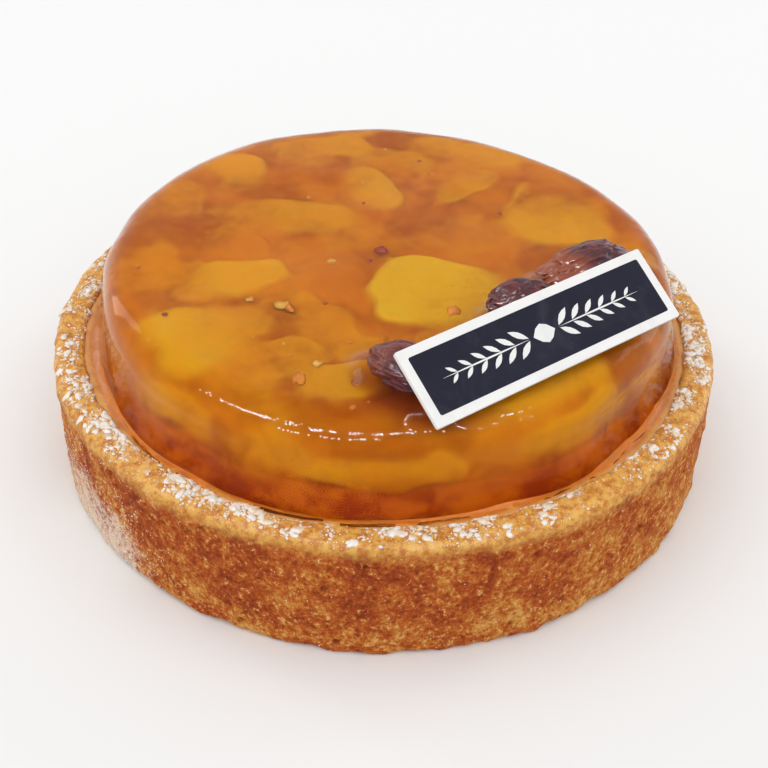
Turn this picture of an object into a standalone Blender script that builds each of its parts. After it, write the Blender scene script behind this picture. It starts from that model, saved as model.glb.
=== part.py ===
"""Individual apple tart with a jellied apple disc, dried fruits and a small card.

A straight-sided shortcrust shell is filled with baked almond cream.  A thick disc of
jellied apples lies on the cream, four dried fruits lie on the disc, and a stiff little
card leans on the fruits.  Units are metres, +Z is up, the tart stands on z = 0 and its
axis is the Z axis.  Bearings are degrees anticlockwise from +X, seen from above.
"""

import math

import bmesh
import bpy
from mathutils import Matrix, Vector, noise

# Shared fit
GAP = 0.0003                # clearance between pieces that touch
SEGMENTS = 96               # facets round every turned body

# Shortcrust shell
TART_RADIUS = 0.0400
SHELL_HEIGHT = 0.0158
WALL = 0.0035
FLOOR = 0.0032
RIM_OUTER_ROUND = 0.0011
RIM_INNER_ROUND = 0.0005
FOOT_ROUND = 0.0009
FLOOR_FILLET = 0.0012
WALL_WAVE = 0.00022         # unevenness of the hand-lined wall
RIM_WAVE = 0.00018          # unevenness of the trimmed rim
CRUST_WAVES = (             # slow waves round the tart: count, share, pace of their phase
    (2, 0.5, 1.0),
    (5, 0.3, 2.3),
    (9, 0.2, -1.7),
)
WALL_PHASE = 1.0
RIM_PHASE = 4.0
WAVE_FADE = 4               # power by which the waves fade towards the axis and the foot

# Almond cream
CREAM_TOP = 0.0152
CREAM_EDGE_ROUND = 0.0004

# Jellied apple disc
DISC_BOTTOM = CREAM_TOP + GAP
DISC_TOP = 0.0259
DISC_RADIUS = 0.0353
DISC_SHOULDER = 0.0042
DISC_DRAFT = 0.0010         # how far the wall leans in up to the shoulder
DISC_FOOT_ROUND = 0.0007
DISC_LOBES = (              # unevenness of the outline: lobes, depth, bearing of a crest
    (2, 0.00035, -80.0),
    (3, 0.00035, 10.0),
    (4, 0.00025, -45.0),
)
LOBE_FADE = 6               # power by which the lobes fade towards the axis
DISC_SLOPE = 0.0006         # the top is higher on one side
DISC_HIGH_BEARING = -135.0
DISC_SWELL = 0.00012        # soft swells of the top
SWELL_TURNS = (190.0, 160.0)    # radians a metre along X and along Y
SWELL_PHASES = (1.0, -0.4)
DISC_LEAN = Vector((-0.0002, 0.0002))
DISC_FLAT = DISC_RADIUS - DISC_DRAFT - DISC_SHOULDER    # reach of the flat part of the top

# Leaning card
CARD_LENGTH = 0.0343
CARD_WIDTH = 0.0089
CARD_THICK = 0.0005
CARD_CORNER = 0.0002
CARD_BEARING = 37.6         # direction of the long edges
CARD_TILT = 33.0            # rise of the card away from its front edge
CARD_FRONT = Vector((0.0190, -0.0236))      # middle of the front long edge

# Dried fruits: centre on the disc, half length, half width, thickness, bearing, seed
FRUITS = {
    "dried_fruit_left": (0.0025, -0.0263, 0.0046, 0.0031, 0.0043, -36.0, 3.0),
    "dried_fruit_small": (0.0070, -0.0207, 0.0024, 0.0017, 0.0026, 60.0, 11.0),
    "dried_fruit_middle": (0.0148, -0.0136, 0.0040, 0.0027, 0.0047, 26.0, 19.0),
    "dried_fruit_right": (0.0224, -0.0060, 0.0066, 0.0030, 0.0047, 37.0, 27.0),
}
FRUIT_MERIDIANS = 24
FRUIT_RINGS = 11
WRINKLE = 0.40              # depth of the folds as a share of the radius
WRINKLE_SCALE = 1.9
WRINKLE_STRETCH = Vector((0.8, 1.0, 1.0))   # folds run along the fruit


def clear_scene():
    """Remove every object that the file starts with."""
    for item in list(bpy.data.objects):
        bpy.data.objects.remove(item, do_unlink=True)


def make_material(name, colour, roughness, metallic=0.0):
    """Make a Principled material of one plain colour."""
    material = bpy.data.materials.new(name)
    material.use_nodes = True
    shader = material.node_tree.nodes["Principled BSDF"]
    shader.inputs["Base Color"].default_value = (*colour, 1.0)
    shader.inputs["Roughness"].default_value = roughness
    shader.inputs["Metallic"].default_value = metallic
    return material


def add_object(name, mesh, material, sharp_angle=40.0):
    """Turn a bmesh into a smooth-shaded object with one material."""
    bmesh.ops.recalc_face_normals(mesh, faces=mesh.faces)
    data = bpy.data.meshes.new(name)
    mesh.to_mesh(data)
    mesh.free()
    data.materials.append(material)
    data.shade_smooth()
    data.set_sharp_from_angle(angle=math.radians(sharp_angle))
    item = bpy.data.objects.new(name, data)
    bpy.context.scene.collection.objects.link(item)
    return item


def arc(centre, radius, start, end, steps):
    """List the (reach, height) points of an arc, from one angle to another in degrees."""
    points = []
    for step in range(steps + 1):
        angle = math.radians(start + (end - start) * step / steps)
        points.append((centre[0] + radius * math.cos(angle), centre[1] + radius * math.sin(angle)))
    return points


def turned(profile, place):
    """Turn a profile into a closed body.

    The profile runs from the axis at the bottom, round the outside, to the axis at the
    top.  `place` takes a bearing in radians, a reach and a height, and returns a point.
    """
    mesh = bmesh.new()
    bottom = mesh.verts.new(place(0.0, 0.0, profile[0][1]))
    top = mesh.verts.new(place(0.0, 0.0, profile[-1][1]))
    rings = []
    for reach, height in profile[1:-1]:
        ring = []
        for index in range(SEGMENTS):
            bearing = math.tau * index / SEGMENTS
            ring.append(mesh.verts.new(place(bearing, reach, height)))
        rings.append(ring)
    for index in range(SEGMENTS):
        after = (index + 1) % SEGMENTS
        mesh.faces.new((bottom, rings[0][after], rings[0][index]))
        mesh.faces.new((top, rings[-1][index], rings[-1][after]))
        for lower, upper in zip(rings, rings[1:]):
            mesh.faces.new((lower[index], lower[after], upper[after], upper[index]))
    return mesh


def wave(bearing, phase):
    """Sum the slow waves round the tart; the result stays within about 1."""
    return sum(share * math.sin(count * bearing + pace * phase) for count, share, pace in CRUST_WAVES)


def place_crust(bearing, reach, height):
    """Place a point of the shell or of its filling, with the shell's unevenness."""
    outwards = reach / TART_RADIUS
    upwards = (height / SHELL_HEIGHT) ** WAVE_FADE
    reach += WALL_WAVE * wave(bearing, WALL_PHASE) * outwards ** WAVE_FADE
    height += RIM_WAVE * wave(bearing, RIM_PHASE) * upwards * outwards
    return Vector((reach * math.cos(bearing), reach * math.sin(bearing), height))


def lobed(bearing, reach):
    """Return a reach on the disc with the lobes of its outline, which fade inwards."""
    fade = (reach / DISC_RADIUS) ** LOBE_FADE
    for count, depth, crest in DISC_LOBES:
        reach += depth * fade * math.cos(count * (bearing - math.radians(crest)))
    return reach


def disc_swell(place_x, place_y):
    """Return how far the disc's top stands above its mean height."""
    high = math.radians(DISC_HIGH_BEARING)
    slope = (place_x * math.cos(high) + place_y * math.sin(high)) / DISC_RADIUS
    ripple = (math.sin(SWELL_TURNS[0] * place_x + SWELL_PHASES[0])
              * math.cos(SWELL_TURNS[1] * place_y + SWELL_PHASES[1]))
    return DISC_SLOPE * slope + DISC_SWELL * ripple


def disc_top_height(place_x, place_y):
    """Return the height of the disc's top over a place, with its rounded shoulder."""
    arm = Vector((place_x, place_y)) - DISC_LEAN
    flat_reach = lobed(math.atan2(arm.y, arm.x), DISC_FLAT)
    over = min(max(arm.length - flat_reach, 0.0), DISC_SHOULDER)
    drop = DISC_SHOULDER - math.sqrt(DISC_SHOULDER ** 2 - over ** 2)
    return DISC_TOP + disc_swell(place_x, place_y) - drop


def place_disc(bearing, reach, height):
    """Place a point of the apple disc, with its lobed outline, swells and lean."""
    rise = (height - DISC_BOTTOM) / (DISC_TOP - DISC_BOTTOM)
    reach = lobed(bearing, reach)
    place_x = reach * math.cos(bearing) + DISC_LEAN.x * rise
    place_y = reach * math.sin(bearing) + DISC_LEAN.y * rise
    return Vector((place_x, place_y, height + disc_swell(place_x, place_y) * rise))


def build_shell():
    """Build the cup of shortcrust pastry: floor, upright wall and rounded rim."""
    inner = TART_RADIUS - WALL
    profile = [(0.0, 0.0), (TART_RADIUS * 0.5, 0.0)]
    profile += arc((TART_RADIUS - FOOT_ROUND, FOOT_ROUND), FOOT_ROUND, -90.0, 0.0, 2)
    profile += [(TART_RADIUS, SHELL_HEIGHT * 0.5)]
    profile += arc((TART_RADIUS - RIM_OUTER_ROUND, SHELL_HEIGHT - RIM_OUTER_ROUND),
                   RIM_OUTER_ROUND, 0.0, 90.0, 4)
    profile += arc((inner + RIM_INNER_ROUND, SHELL_HEIGHT - RIM_INNER_ROUND),
                   RIM_INNER_ROUND, 90.0, 180.0, 2)
    profile += arc((inner - FLOOR_FILLET, FLOOR + FLOOR_FILLET), FLOOR_FILLET, 0.0, -90.0, 2)
    profile += [(0.0, FLOOR)]
    crust = make_material("baked_shortcrust", (0.40, 0.125, 0.030), 0.75)
    return add_object("pastry_shell", turned(profile, place_crust), crust)


def build_cream():
    """Build the almond cream that fills the shell up to just under its rim."""
    reach = TART_RADIUS - WALL - GAP
    floor = FLOOR + GAP
    profile = [(0.0, floor)]
    profile += arc((reach - FLOOR_FILLET, floor + FLOOR_FILLET), FLOOR_FILLET, -90.0, 0.0, 2)
    profile += arc((reach - CREAM_EDGE_ROUND, CREAM_TOP - CREAM_EDGE_ROUND), CREAM_EDGE_ROUND, 0.0, 90.0, 2)
    profile += [(0.0, CREAM_TOP)]
    cream = make_material("almond_cream_bake", (0.60, 0.30, 0.09), 0.45)
    return add_object("almond_cream", turned(profile, place_crust), cream)


def build_disc():
    """Build the disc of jellied apples: a foot, a leaning wall, a wide round shoulder."""
    shoulder = (DISC_FLAT, DISC_TOP - DISC_SHOULDER)
    profile = [(0.0, DISC_BOTTOM + RIM_WAVE)]
    profile += arc((DISC_RADIUS - DISC_FOOT_ROUND, DISC_BOTTOM + RIM_WAVE + DISC_FOOT_ROUND),
                   DISC_FOOT_ROUND, -90.0, 0.0, 2)
    profile += arc(shoulder, DISC_SHOULDER, 0.0, 90.0, 6)
    profile += [(DISC_RADIUS * 0.65, DISC_TOP), (DISC_RADIUS * 0.35, DISC_TOP), (0.0, DISC_TOP)]
    jelly = make_material("apple_jelly", (0.60, 0.23, 0.030), 0.12)
    return add_object("apple_disc", turned(profile, place_disc), jelly)


def card_frame():
    """Return the card's frame: x along its front edge, y up its slope, z out of its face."""
    front_lift = disc_top_height(CARD_FRONT.x, CARD_FRONT.y) + GAP + DISC_SWELL
    turn = Matrix.Rotation(math.radians(CARD_BEARING), 4, "Z")
    tilt = Matrix.Rotation(math.radians(CARD_TILT), 4, "X")
    return Matrix.Translation((CARD_FRONT.x, CARD_FRONT.y, front_lift)) @ turn @ tilt


def build_card(frame):
    """Build the stiff card, with its front edge on the disc and its back edge raised."""
    mesh = bmesh.new()
    bmesh.ops.create_cube(mesh, size=1.0)
    bmesh.ops.scale(mesh, vec=(CARD_LENGTH, CARD_WIDTH, CARD_THICK), verts=mesh.verts)
    upright = [edge for edge in mesh.edges
               if abs(edge.verts[0].co.z - edge.verts[1].co.z) > CARD_THICK * 0.5]
    bmesh.ops.bevel(mesh, geom=upright, offset=CARD_CORNER, segments=2, profile=0.5,
                    affect="EDGES")
    bmesh.ops.translate(mesh, vec=(0.0, CARD_WIDTH * 0.5, CARD_THICK * 0.5), verts=mesh.verts)
    board = make_material("dark_card", (0.034, 0.037, 0.055), 0.22)
    card = add_object("plaque", mesh, board)
    card.matrix_world = frame
    return card


def card_underside(frame, place_x, place_y):
    """Return the height of the plane of the card's underside over a place."""
    origin = frame.translation
    normal = frame.to_3x3() @ Vector((0.0, 0.0, 1.0))
    across = (place_x - origin.x) * normal.x + (place_y - origin.y) * normal.y
    return origin.z - across / normal.z


def build_fruit(name, frame, material):
    """Build one dried fruit: a wrinkled ovoid, flattened by the disc and by the card."""
    place_x, place_y, half_length, half_width, thick, bearing, seed = FRUITS[name]
    mesh = bmesh.new()
    bmesh.ops.create_uvsphere(mesh, u_segments=FRUIT_MERIDIANS, v_segments=FRUIT_RINGS, radius=1.0)
    lie_down = Matrix.Rotation(math.radians(90.0), 3, "Y")
    bmesh.ops.rotate(mesh, cent=(0.0, 0.0, 0.0), matrix=lie_down, verts=mesh.verts)
    turn = Matrix.Rotation(math.radians(bearing), 3, "Z")
    base = disc_top_height(place_x, place_y) + GAP
    for vert in mesh.verts:
        fold = noise.noise(vert.co * WRINKLE_STRETCH * WRINKLE_SCALE + Vector((seed, 0.0, 0.0)))
        swollen = vert.co * (1.0 - WRINKLE * abs(fold))
        local = Vector((swollen.x * half_length, swollen.y * half_width, swollen.z * thick * 0.5))
        spot = turn @ local
        spot += Vector((place_x, place_y, base + thick * 0.5))
        spot.z = max(spot.z, disc_top_height(spot.x, spot.y) + GAP)
        spot.z = min(spot.z, card_underside(frame, spot.x, spot.y) - GAP)
        vert.co = spot
    bmesh.ops.dissolve_degenerate(mesh, dist=GAP * 0.03, edges=mesh.edges)
    return add_object(name, mesh, material, sharp_angle=70.0)


def build_tart():
    """Build the whole tart from its shell up."""
    clear_scene()
    build_shell()
    build_cream()
    build_disc()
    frame = card_frame()
    build_card(frame)
    skin = make_material("dried_fruit_skin", (0.11, 0.022, 0.022), 0.35)
    for name in FRUITS:
        build_fruit(name, frame, skin)


build_tart()
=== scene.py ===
"""Looks of an individual apple tart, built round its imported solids.

The tart is a baked shortcrust shell with almond cream, a disc of clear amber jelly full of
cooked apple pieces, four glazed dried fruits, sugar on the rim and a small leaning card.
Lengths are metres and +Z is up.  Bearings are degrees anticlockwise from +X, seen from above.
"""

import logging
import math
from dataclasses import dataclass
from enum import Enum
from typing import Any, Iterator, Sequence

import bmesh
import bpy
import numpy as np
from mathutils import Matrix, Vector


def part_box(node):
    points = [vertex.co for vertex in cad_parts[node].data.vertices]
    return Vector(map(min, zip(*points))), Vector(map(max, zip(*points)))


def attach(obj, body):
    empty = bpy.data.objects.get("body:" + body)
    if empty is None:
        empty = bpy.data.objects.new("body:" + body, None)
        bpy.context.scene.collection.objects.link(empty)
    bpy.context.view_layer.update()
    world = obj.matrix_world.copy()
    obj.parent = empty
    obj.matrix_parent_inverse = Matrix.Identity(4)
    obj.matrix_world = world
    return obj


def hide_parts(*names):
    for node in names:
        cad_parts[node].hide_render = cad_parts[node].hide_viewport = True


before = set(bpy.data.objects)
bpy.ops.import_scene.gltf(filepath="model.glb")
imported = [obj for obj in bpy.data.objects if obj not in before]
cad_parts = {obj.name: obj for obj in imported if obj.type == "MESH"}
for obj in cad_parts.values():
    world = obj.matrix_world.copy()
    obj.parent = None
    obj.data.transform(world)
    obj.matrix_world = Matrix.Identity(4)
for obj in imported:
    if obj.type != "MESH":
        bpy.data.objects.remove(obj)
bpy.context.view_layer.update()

LOG = logging.getLogger("tart")
MM = 0.001
BODY = "root"

Colour = tuple[float, float, float]

CELL_PRIMES = np.array((73856093, 19349663, 83492791), dtype=np.int64)
SEED_STEP = 40503
FIRST_MIXER = np.uint64(2246822519)
SECOND_MIXER = np.uint64(3266489917)
LOW_BITS = 0xFFFFFF
TINY = 1e-6
SQUARENESS = 2.8


def paint(red: int, green: int, blue: int) -> Colour:
    """Turn a display colour from 0 to 255 into the linear colour that shaders use.

    Args:
        red: Red from 0 to 255.
        green: Green from 0 to 255.
        blue: Blue from 0 to 255.

    Returns:
        The linear colour.
    """
    shares = (red / 255.0, green / 255.0, blue / 255.0)
    linear = [share / 12.92 if share <= 0.04045 else ((share + 0.055) / 1.055) ** 2.4
              for share in shares]
    return linear[0], linear[1], linear[2]


# ---------------------------------------------------------------- noise on arrays of points


def lattice(cells: np.ndarray, seed: int) -> np.ndarray:
    """Give every cell of a cubic lattice its own steady number.

    Args:
        cells: Whole-number cells, with X, Y and Z last.
        seed: Which set of numbers to draw from.

    Returns:
        A number from 0 to 1 for each cell.
    """
    mixed = (cells.astype(np.int64) @ CELL_PRIMES + seed * SEED_STEP).astype(np.uint64)
    mixed = (mixed ^ (mixed >> np.uint64(15))) * FIRST_MIXER
    mixed = (mixed ^ (mixed >> np.uint64(13))) * SECOND_MIXER
    mixed = mixed ^ (mixed >> np.uint64(16))
    return (mixed & np.uint64(LOW_BITS)).astype(float) / float(LOW_BITS + 1)


def eased(share: np.ndarray) -> np.ndarray:
    """Return shares from 0 to 1 with a gentle start and end."""
    return share * share * (3.0 - 2.0 * share)


def smooth_noise(points: np.ndarray, size: float, seed: int) -> np.ndarray:
    """Sample smooth noise.

    Args:
        points: Points with X, Y and Z last.
        size: Length of one lump.
        seed: Which noise.

    Returns:
        A number from -1 to 1 for each point.
    """
    scaled = points / size
    low = np.floor(scaled)
    blend = eased(scaled - low)
    total = np.zeros(points.shape[:-1])
    for corner in np.ndindex(2, 2, 2):
        offset = np.array(corner)
        weight = np.prod(np.where(offset == 1, blend, 1.0 - blend), axis=-1)
        total += weight * lattice(low + offset, seed)
    return total * 2.0 - 1.0


def fractal_noise(points: np.ndarray, size: float, seed: int, octaves: int = 3) -> np.ndarray:
    """Sum smooth noise at ever smaller sizes.

    Args:
        points: Points with X, Y and Z last.
        size: Length of the largest lump.
        seed: Which noise.
        octaves: How many sizes are summed.

    Returns:
        A number from -1 to 1 for each point.
    """
    total = np.zeros(points.shape[:-1])
    whole = 0.0
    for octave in range(octaves):
        share = 0.5 ** octave
        total += share * smooth_noise(points, size * share, seed + octave)
        whole += share
    return total / whole


def pit_noise(points: np.ndarray, size: float, seed: int, reach: float) -> np.ndarray:
    """Sample scattered round pits.

    Args:
        points: Points with X, Y and Z last.
        size: Mean distance between pits.
        seed: Which pits.
        reach: Largest pit radius as a share of the size.

    Returns:
        How deep each point lies in a pit, from 0 outside to 1 at a centre.
    """
    scaled = points / size
    home = np.floor(scaled)
    deepest = np.zeros(points.shape[:-1])
    for step in np.ndindex(3, 3, 3):
        cell = home + np.array(step) - 1.0
        centre = cell + np.stack([lattice(cell, seed + axis) for axis in (1, 2, 3)], axis=-1)
        radius = reach * (0.25 + 0.75 * lattice(cell, seed + 4) ** 2)
        away = np.linalg.norm(scaled - centre, axis=-1)
        deepest = np.maximum(deepest, 1.0 - away / radius)
    return eased(deepest)


def ease(values: np.ndarray, low: float, high: float) -> np.ndarray:
    """Rise smoothly from 0 to 1 between two values.

    Args:
        values: What is tested.
        low: Where the rise starts.
        high: Where it ends; it may be the smaller of the two.

    Returns:
        Numbers from 0 to 1.
    """
    return eased(np.clip((values - low) / (high - low), 0.0, 1.0))


@dataclass(frozen=True)
class Relief:
    """One layer of soft lumps and hollows in a surface."""

    size: float
    depth: float
    seed: int
    octaves: int = 1

    def over(self, spots: np.ndarray) -> np.ndarray:
        """Return how far each point rises, down to minus the depth."""
        return fractal_noise(spots, self.size, self.seed, self.octaves) * self.depth


# ---------------------------------------------------------------- meshes


def add_piece(name: str, points: np.ndarray, faces: list, material: bpy.types.Material,
              nodes: Sequence[str] = ()) -> bpy.types.Object:
    """Add a smooth mesh piece that rides on the tart.

    Args:
        name: Name of the piece.
        points: Its points, with X, Y and Z last.
        faces: Its faces, as lists of point numbers.
        material: Its material.
        nodes: The CAD nodes that it stands for.

    Returns:
        The new object.
    """
    mesh = bpy.data.meshes.new(name)
    mesh.from_pydata(points.reshape(-1, 3).tolist(), [], faces)
    mesh.materials.append(material)
    mesh.shade_smooth()
    piece = bpy.data.objects.new(name, mesh)
    bpy.context.scene.collection.objects.link(piece)
    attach(piece, BODY)
    if nodes:
        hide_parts(*nodes)
    LOG.info("%s: %d faces, stands for %s", name, len(faces), ", ".join(nodes) or "no node")
    return piece


def mark(piece: bpy.types.Object, name: str, numbers: np.ndarray) -> None:
    """Store a number for each point of a piece, for its material.

    Args:
        piece: The piece.
        name: Name of the numbers.
        numbers: One number for each point.
    """
    layer = piece.data.attributes.new(name, "FLOAT", "POINT")
    layer.data.foreach_set("value", numbers.ravel().astype(np.float32))


def ring_faces(rows: int, columns: int) -> list:
    """List the faces of a turned grid whose points are followed by a bottom and a top point.

    Args:
        rows: Rings of points, from the bottom up.
        columns: Points in each ring.

    Returns:
        Quads between the rings and triangles round both ends.
    """
    row, column = np.meshgrid(np.arange(rows - 1), np.arange(columns), indexing="ij")
    after = (column + 1) % columns
    quads = np.stack([row * columns + column, row * columns + after,
                      (row + 1) * columns + after, (row + 1) * columns + column], axis=-1)
    bottom = rows * columns
    around = np.arange(columns)
    beyond = (around + 1) % columns
    last = (rows - 1) * columns
    low_cap = np.stack([np.full(columns, bottom), beyond, around], axis=-1)
    top_cap = np.stack([np.full(columns, bottom + 1), last + around, last + beyond], axis=-1)
    return quads.reshape(-1, 4).tolist() + low_cap.tolist() + top_cap.tolist()


def upright(bearing: np.ndarray, reach: np.ndarray, height: np.ndarray) -> np.ndarray:
    """Turn bearings in radians, reaches and heights into X, Y and Z."""
    return np.stack([reach * np.cos(bearing), reach * np.sin(bearing), height], axis=-1)


def close_rings(spots: np.ndarray, low: float, high: float) -> tuple[np.ndarray, list]:
    """Close rings of points with one point on the axis at each end.

    Args:
        spots: Rings of points, from the bottom up.
        low: Height of the bottom point.
        high: Height of the top point.

    Returns:
        All the points and all the faces.
    """
    ends = np.array([[0.0, 0.0, low], [0.0, 0.0, high]])
    return np.vstack([spots.reshape(-1, 3), ends]), ring_faces(*spots.shape[:2])


def join_copies(shape: np.ndarray, faces: list, copies: np.ndarray) -> tuple[np.ndarray, list]:
    """Join many copies of one small mesh that each have their own points.

    Args:
        shape: Points of the small mesh, only counted here.
        faces: Its faces.
        copies: Points of every copy, as copy, point and X, Y, Z.

    Returns:
        All the points and all the faces.
    """
    count = len(shape)
    joined = [[corner + copy * count for corner in face]
              for copy in range(len(copies)) for face in faces]
    return copies.reshape(-1, 3), joined


def ball(subdivisions: int) -> tuple[np.ndarray, list]:
    """Make the points and faces of a unit icosphere.

    Args:
        subdivisions: How often its triangles are divided.

    Returns:
        Points and faces.
    """
    mesh = bmesh.new()
    bmesh.ops.create_icosphere(mesh, subdivisions=subdivisions, radius=1.0)
    mesh.verts.ensure_lookup_table()
    points = np.array([vert.co[:] for vert in mesh.verts])
    faces = [[vert.index for vert in face.verts] for face in mesh.faces]
    mesh.free()
    return points, faces


@dataclass(frozen=True)
class Profile:
    """A profile of a turned piece, from the axis at the bottom round to the axis at the top."""

    reach: np.ndarray
    height: np.ndarray

    @classmethod
    def through(cls, legs: Sequence[tuple]) -> "Profile":
        """Join straight legs and arcs.

        Args:
            legs: ("line", reach, height, steps) from the last point on, or
                ("arc", centre reach, centre height, radius, start, end, steps) in degrees.

        Returns:
            The profile.
        """
        points: list[tuple[float, float]] = []
        for kind, *sizes in legs:
            if kind == "line":
                reach, height, steps = sizes
                from_reach, from_height = points[-1] if points else (0.0, height)
                for step in range(1, steps + 1):
                    share = step / steps
                    points.append((from_reach + (reach - from_reach) * share,
                                   from_height + (height - from_height) * share))
                continue
            centre, middle, radius, start, end, steps = sizes
            for step in range(1, steps + 1):
                angle = math.radians(start + (end - start) * step / steps)
                points.append((centre + radius * math.cos(angle), middle + radius * math.sin(angle)))
        reaches, heights = zip(*points)
        return cls(np.array(reaches), np.array(heights))

    def turned(self, columns: int) -> tuple[np.ndarray, np.ndarray, np.ndarray]:
        """Turn the profile round the axis.

        Args:
            columns: How often it is repeated on the way round.

        Returns:
            Bearings in radians, reaches and heights, with a row for each of its points.
        """
        bearing = np.arange(columns) * math.tau / columns
        grid_bearing, grid_reach = np.meshgrid(bearing, self.reach)
        return grid_bearing, grid_reach, np.repeat(self.height[:, None], columns, axis=1)

    def normals(self) -> tuple[np.ndarray, np.ndarray]:
        """Work out the outward normal at each point.

        Returns:
            Its parts along the reach and along the height.
        """
        along_reach = np.gradient(self.reach)
        along_height = np.gradient(self.height)
        length = np.hypot(along_reach, along_height) + 1e-12
        return along_height / length, -along_reach / length


# ---------------------------------------------------------------- shader sheets


class Value:
    """A socket of a shader sheet that works in Python arithmetic."""

    def __init__(self, sheet: "Sheet", socket: bpy.types.NodeSocket) -> None:
        """Keep the socket and its sheet.

        Args:
            sheet: The sheet that the socket is on.
            socket: The output socket.
        """
        self.sheet = sheet
        self.socket = socket

    def _maths(self, operation: str, *terms: "Value | float") -> "Value":
        """Add a Math node for an operation on terms.

        Args:
            operation: Name of the operation.
            *terms: Its inputs in order.

        Returns:
            The result.
        """
        return self.sheet.add("ShaderNodeMath", {"operation": operation}, dict(enumerate(terms)))

    def __add__(self, other: "Value | float") -> "Value":
        """Add."""
        return self._maths("ADD", self, other)

    __radd__ = __add__

    def __sub__(self, other: "Value | float") -> "Value":
        """Subtract."""
        return self._maths("SUBTRACT", self, other)

    def __rsub__(self, other: float) -> "Value":
        """Subtract this from a number."""
        return self._maths("SUBTRACT", other, self)

    def __mul__(self, other: "Value | float") -> "Value":
        """Multiply."""
        return self._maths("MULTIPLY", self, other)

    __rmul__ = __mul__

    def __truediv__(self, other: "Value | float") -> "Value":
        """Divide."""
        return self._maths("DIVIDE", self, other)

    def rise(self, low: float, high: float) -> "Value":
        """Rise smoothly from 0 to 1 between two values.

        Args:
            low: Where the rise starts.
            high: Where it ends.

        Returns:
            A number from 0 to 1.
        """
        settings = {"interpolation_type": "SMOOTHSTEP"}
        return self.sheet.add("ShaderNodeMapRange", settings, {0: self, 1: low, 2: high})


class Sheet:
    """A material's node tree."""

    def __init__(self, name: str) -> None:
        """Start an empty material.

        Args:
            name: Name of the material.
        """
        self.material = bpy.data.materials.new(name)
        self.material.use_nodes = True
        self.tree = self.material.node_tree
        self.tree.nodes.clear()
        self.place = self.add("ShaderNodeTexCoord", output=3)

    def add(self, kind: str, settings: dict[str, Any] | None = None,
            sockets: dict[Any, Any] | None = None, output: int = 0) -> Value:
        """Add a node.

        Args:
            kind: Type of the node.
            settings: Its settings, set first; "stops" are a ramp's places and colours.
            sockets: Values or links of its inputs, by name or number.
            output: Which output is wanted.

        Returns:
            The output.
        """
        node = self.tree.nodes.new(kind)
        for key, setting in (settings or {}).items():
            if key == "stops":
                self._set_stops(node.color_ramp, setting)
            else:
                setattr(node, key, setting)
        for key, given in (sockets or {}).items():
            self.feed(node.inputs[key], given)
        return Value(self, node.outputs[output])

    @staticmethod
    def _set_stops(ramp: bpy.types.ColorRamp, stops: Sequence[tuple[float, Colour]]) -> None:
        """Set a ramp's stops.

        Args:
            ramp: The colour ramp.
            stops: Place and colour of each stop, in order.
        """
        while len(ramp.elements) < len(stops):
            ramp.elements.new(1.0)
        for element, (place, colour) in zip(ramp.elements, stops):
            element.position = place
            element.color = (*colour, 1.0)

    def feed(self, socket: bpy.types.NodeSocket, given: Any) -> None:
        """Link or set one input.

        Args:
            socket: The input.
            given: A value of the sheet, a number or a colour.
        """
        if isinstance(given, Value):
            self.tree.links.new(given.socket, socket)
        elif socket.type == "RGBA":
            socket.default_value = (*given, 1.0)
        else:
            socket.default_value = given

    def noise(self, size: float, detail: float = 2.0, roughness: float = 0.5,
              seed: float = 0.0, warp: float = 0.0) -> Value:
        """Sample soft noise, which lies about 0.5.

        Args:
            size: Length of one lump in metres.
            detail: How many smaller sizes are summed.
            roughness: How strong the smaller sizes are.
            seed: Which noise.
            warp: How much it is distorted.

        Returns:
            The noise.
        """
        sockets = {"Vector": self.place, "W": seed, "Scale": 1.0 / size, "Detail": detail,
                   "Roughness": roughness, "Distortion": warp}
        return self.add("ShaderNodeTexNoise", {"noise_dimensions": "4D"}, sockets)

    def stored(self, name: str) -> Value:
        """Return the number that is stored at each point under a name."""
        return self.add("ShaderNodeAttribute", {"attribute_name": name}, output=2)

    def part(self, axis: int) -> Value:
        """Return the place along one axis, in metres."""
        return self.add("ShaderNodeSeparateXYZ", {}, {0: self.place}, output=axis)

    def mix(self, share: "Value | float", first: Any, second: Any, blend: str = "MIX") -> Value:
        """Mix two colours.

        Args:
            share: How much of the second.
            first: First colour.
            second: Second colour.
            blend: Name of the blending.

        Returns:
            The mixed colour.
        """
        settings = {"data_type": "RGBA", "blend_type": blend}
        return self.add("ShaderNodeMix", settings, {0: share, 6: first, 7: second}, output=2)

    def ramp(self, share: Value, stops: Sequence[tuple[float, Colour]]) -> Value:
        """Turn a number into a colour.

        Args:
            share: A number from 0 to 1.
            stops: Places and colours.

        Returns:
            The colour.
        """
        return self.add("ShaderNodeValToRGB", {"stops": stops}, {0: share})

    def bump(self, height: Value, distance: float, strength: float = 1.0) -> Value:
        """Turn a height into a normal.

        Args:
            height: The relief from 0 to 1.
            distance: Its depth in metres.
            strength: How strongly it shows.

        Returns:
            The normal.
        """
        sockets = {"Height": height, "Distance": distance, "Strength": strength}
        return self.add("ShaderNodeBump", {}, sockets)

    def finish(self, sockets: dict[str, Any], volume: Value | None = None) -> bpy.types.Material:
        """Add the surface shader and the output.

        Args:
            sockets: Values or links of the Principled shader.
            volume: What fills the inside, if anything does.

        Returns:
            The finished material.
        """
        surface = self.add("ShaderNodeBsdfPrincipled", {}, sockets)
        outputs: dict[str, Any] = {"Surface": surface}
        if volume is not None:
            outputs["Volume"] = volume
        node = self.tree.nodes.new("ShaderNodeOutputMaterial")
        for key, given in outputs.items():
            self.feed(node.inputs[key], given)
        return self.material


# ---------------------------------------------------------------- finishes


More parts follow.
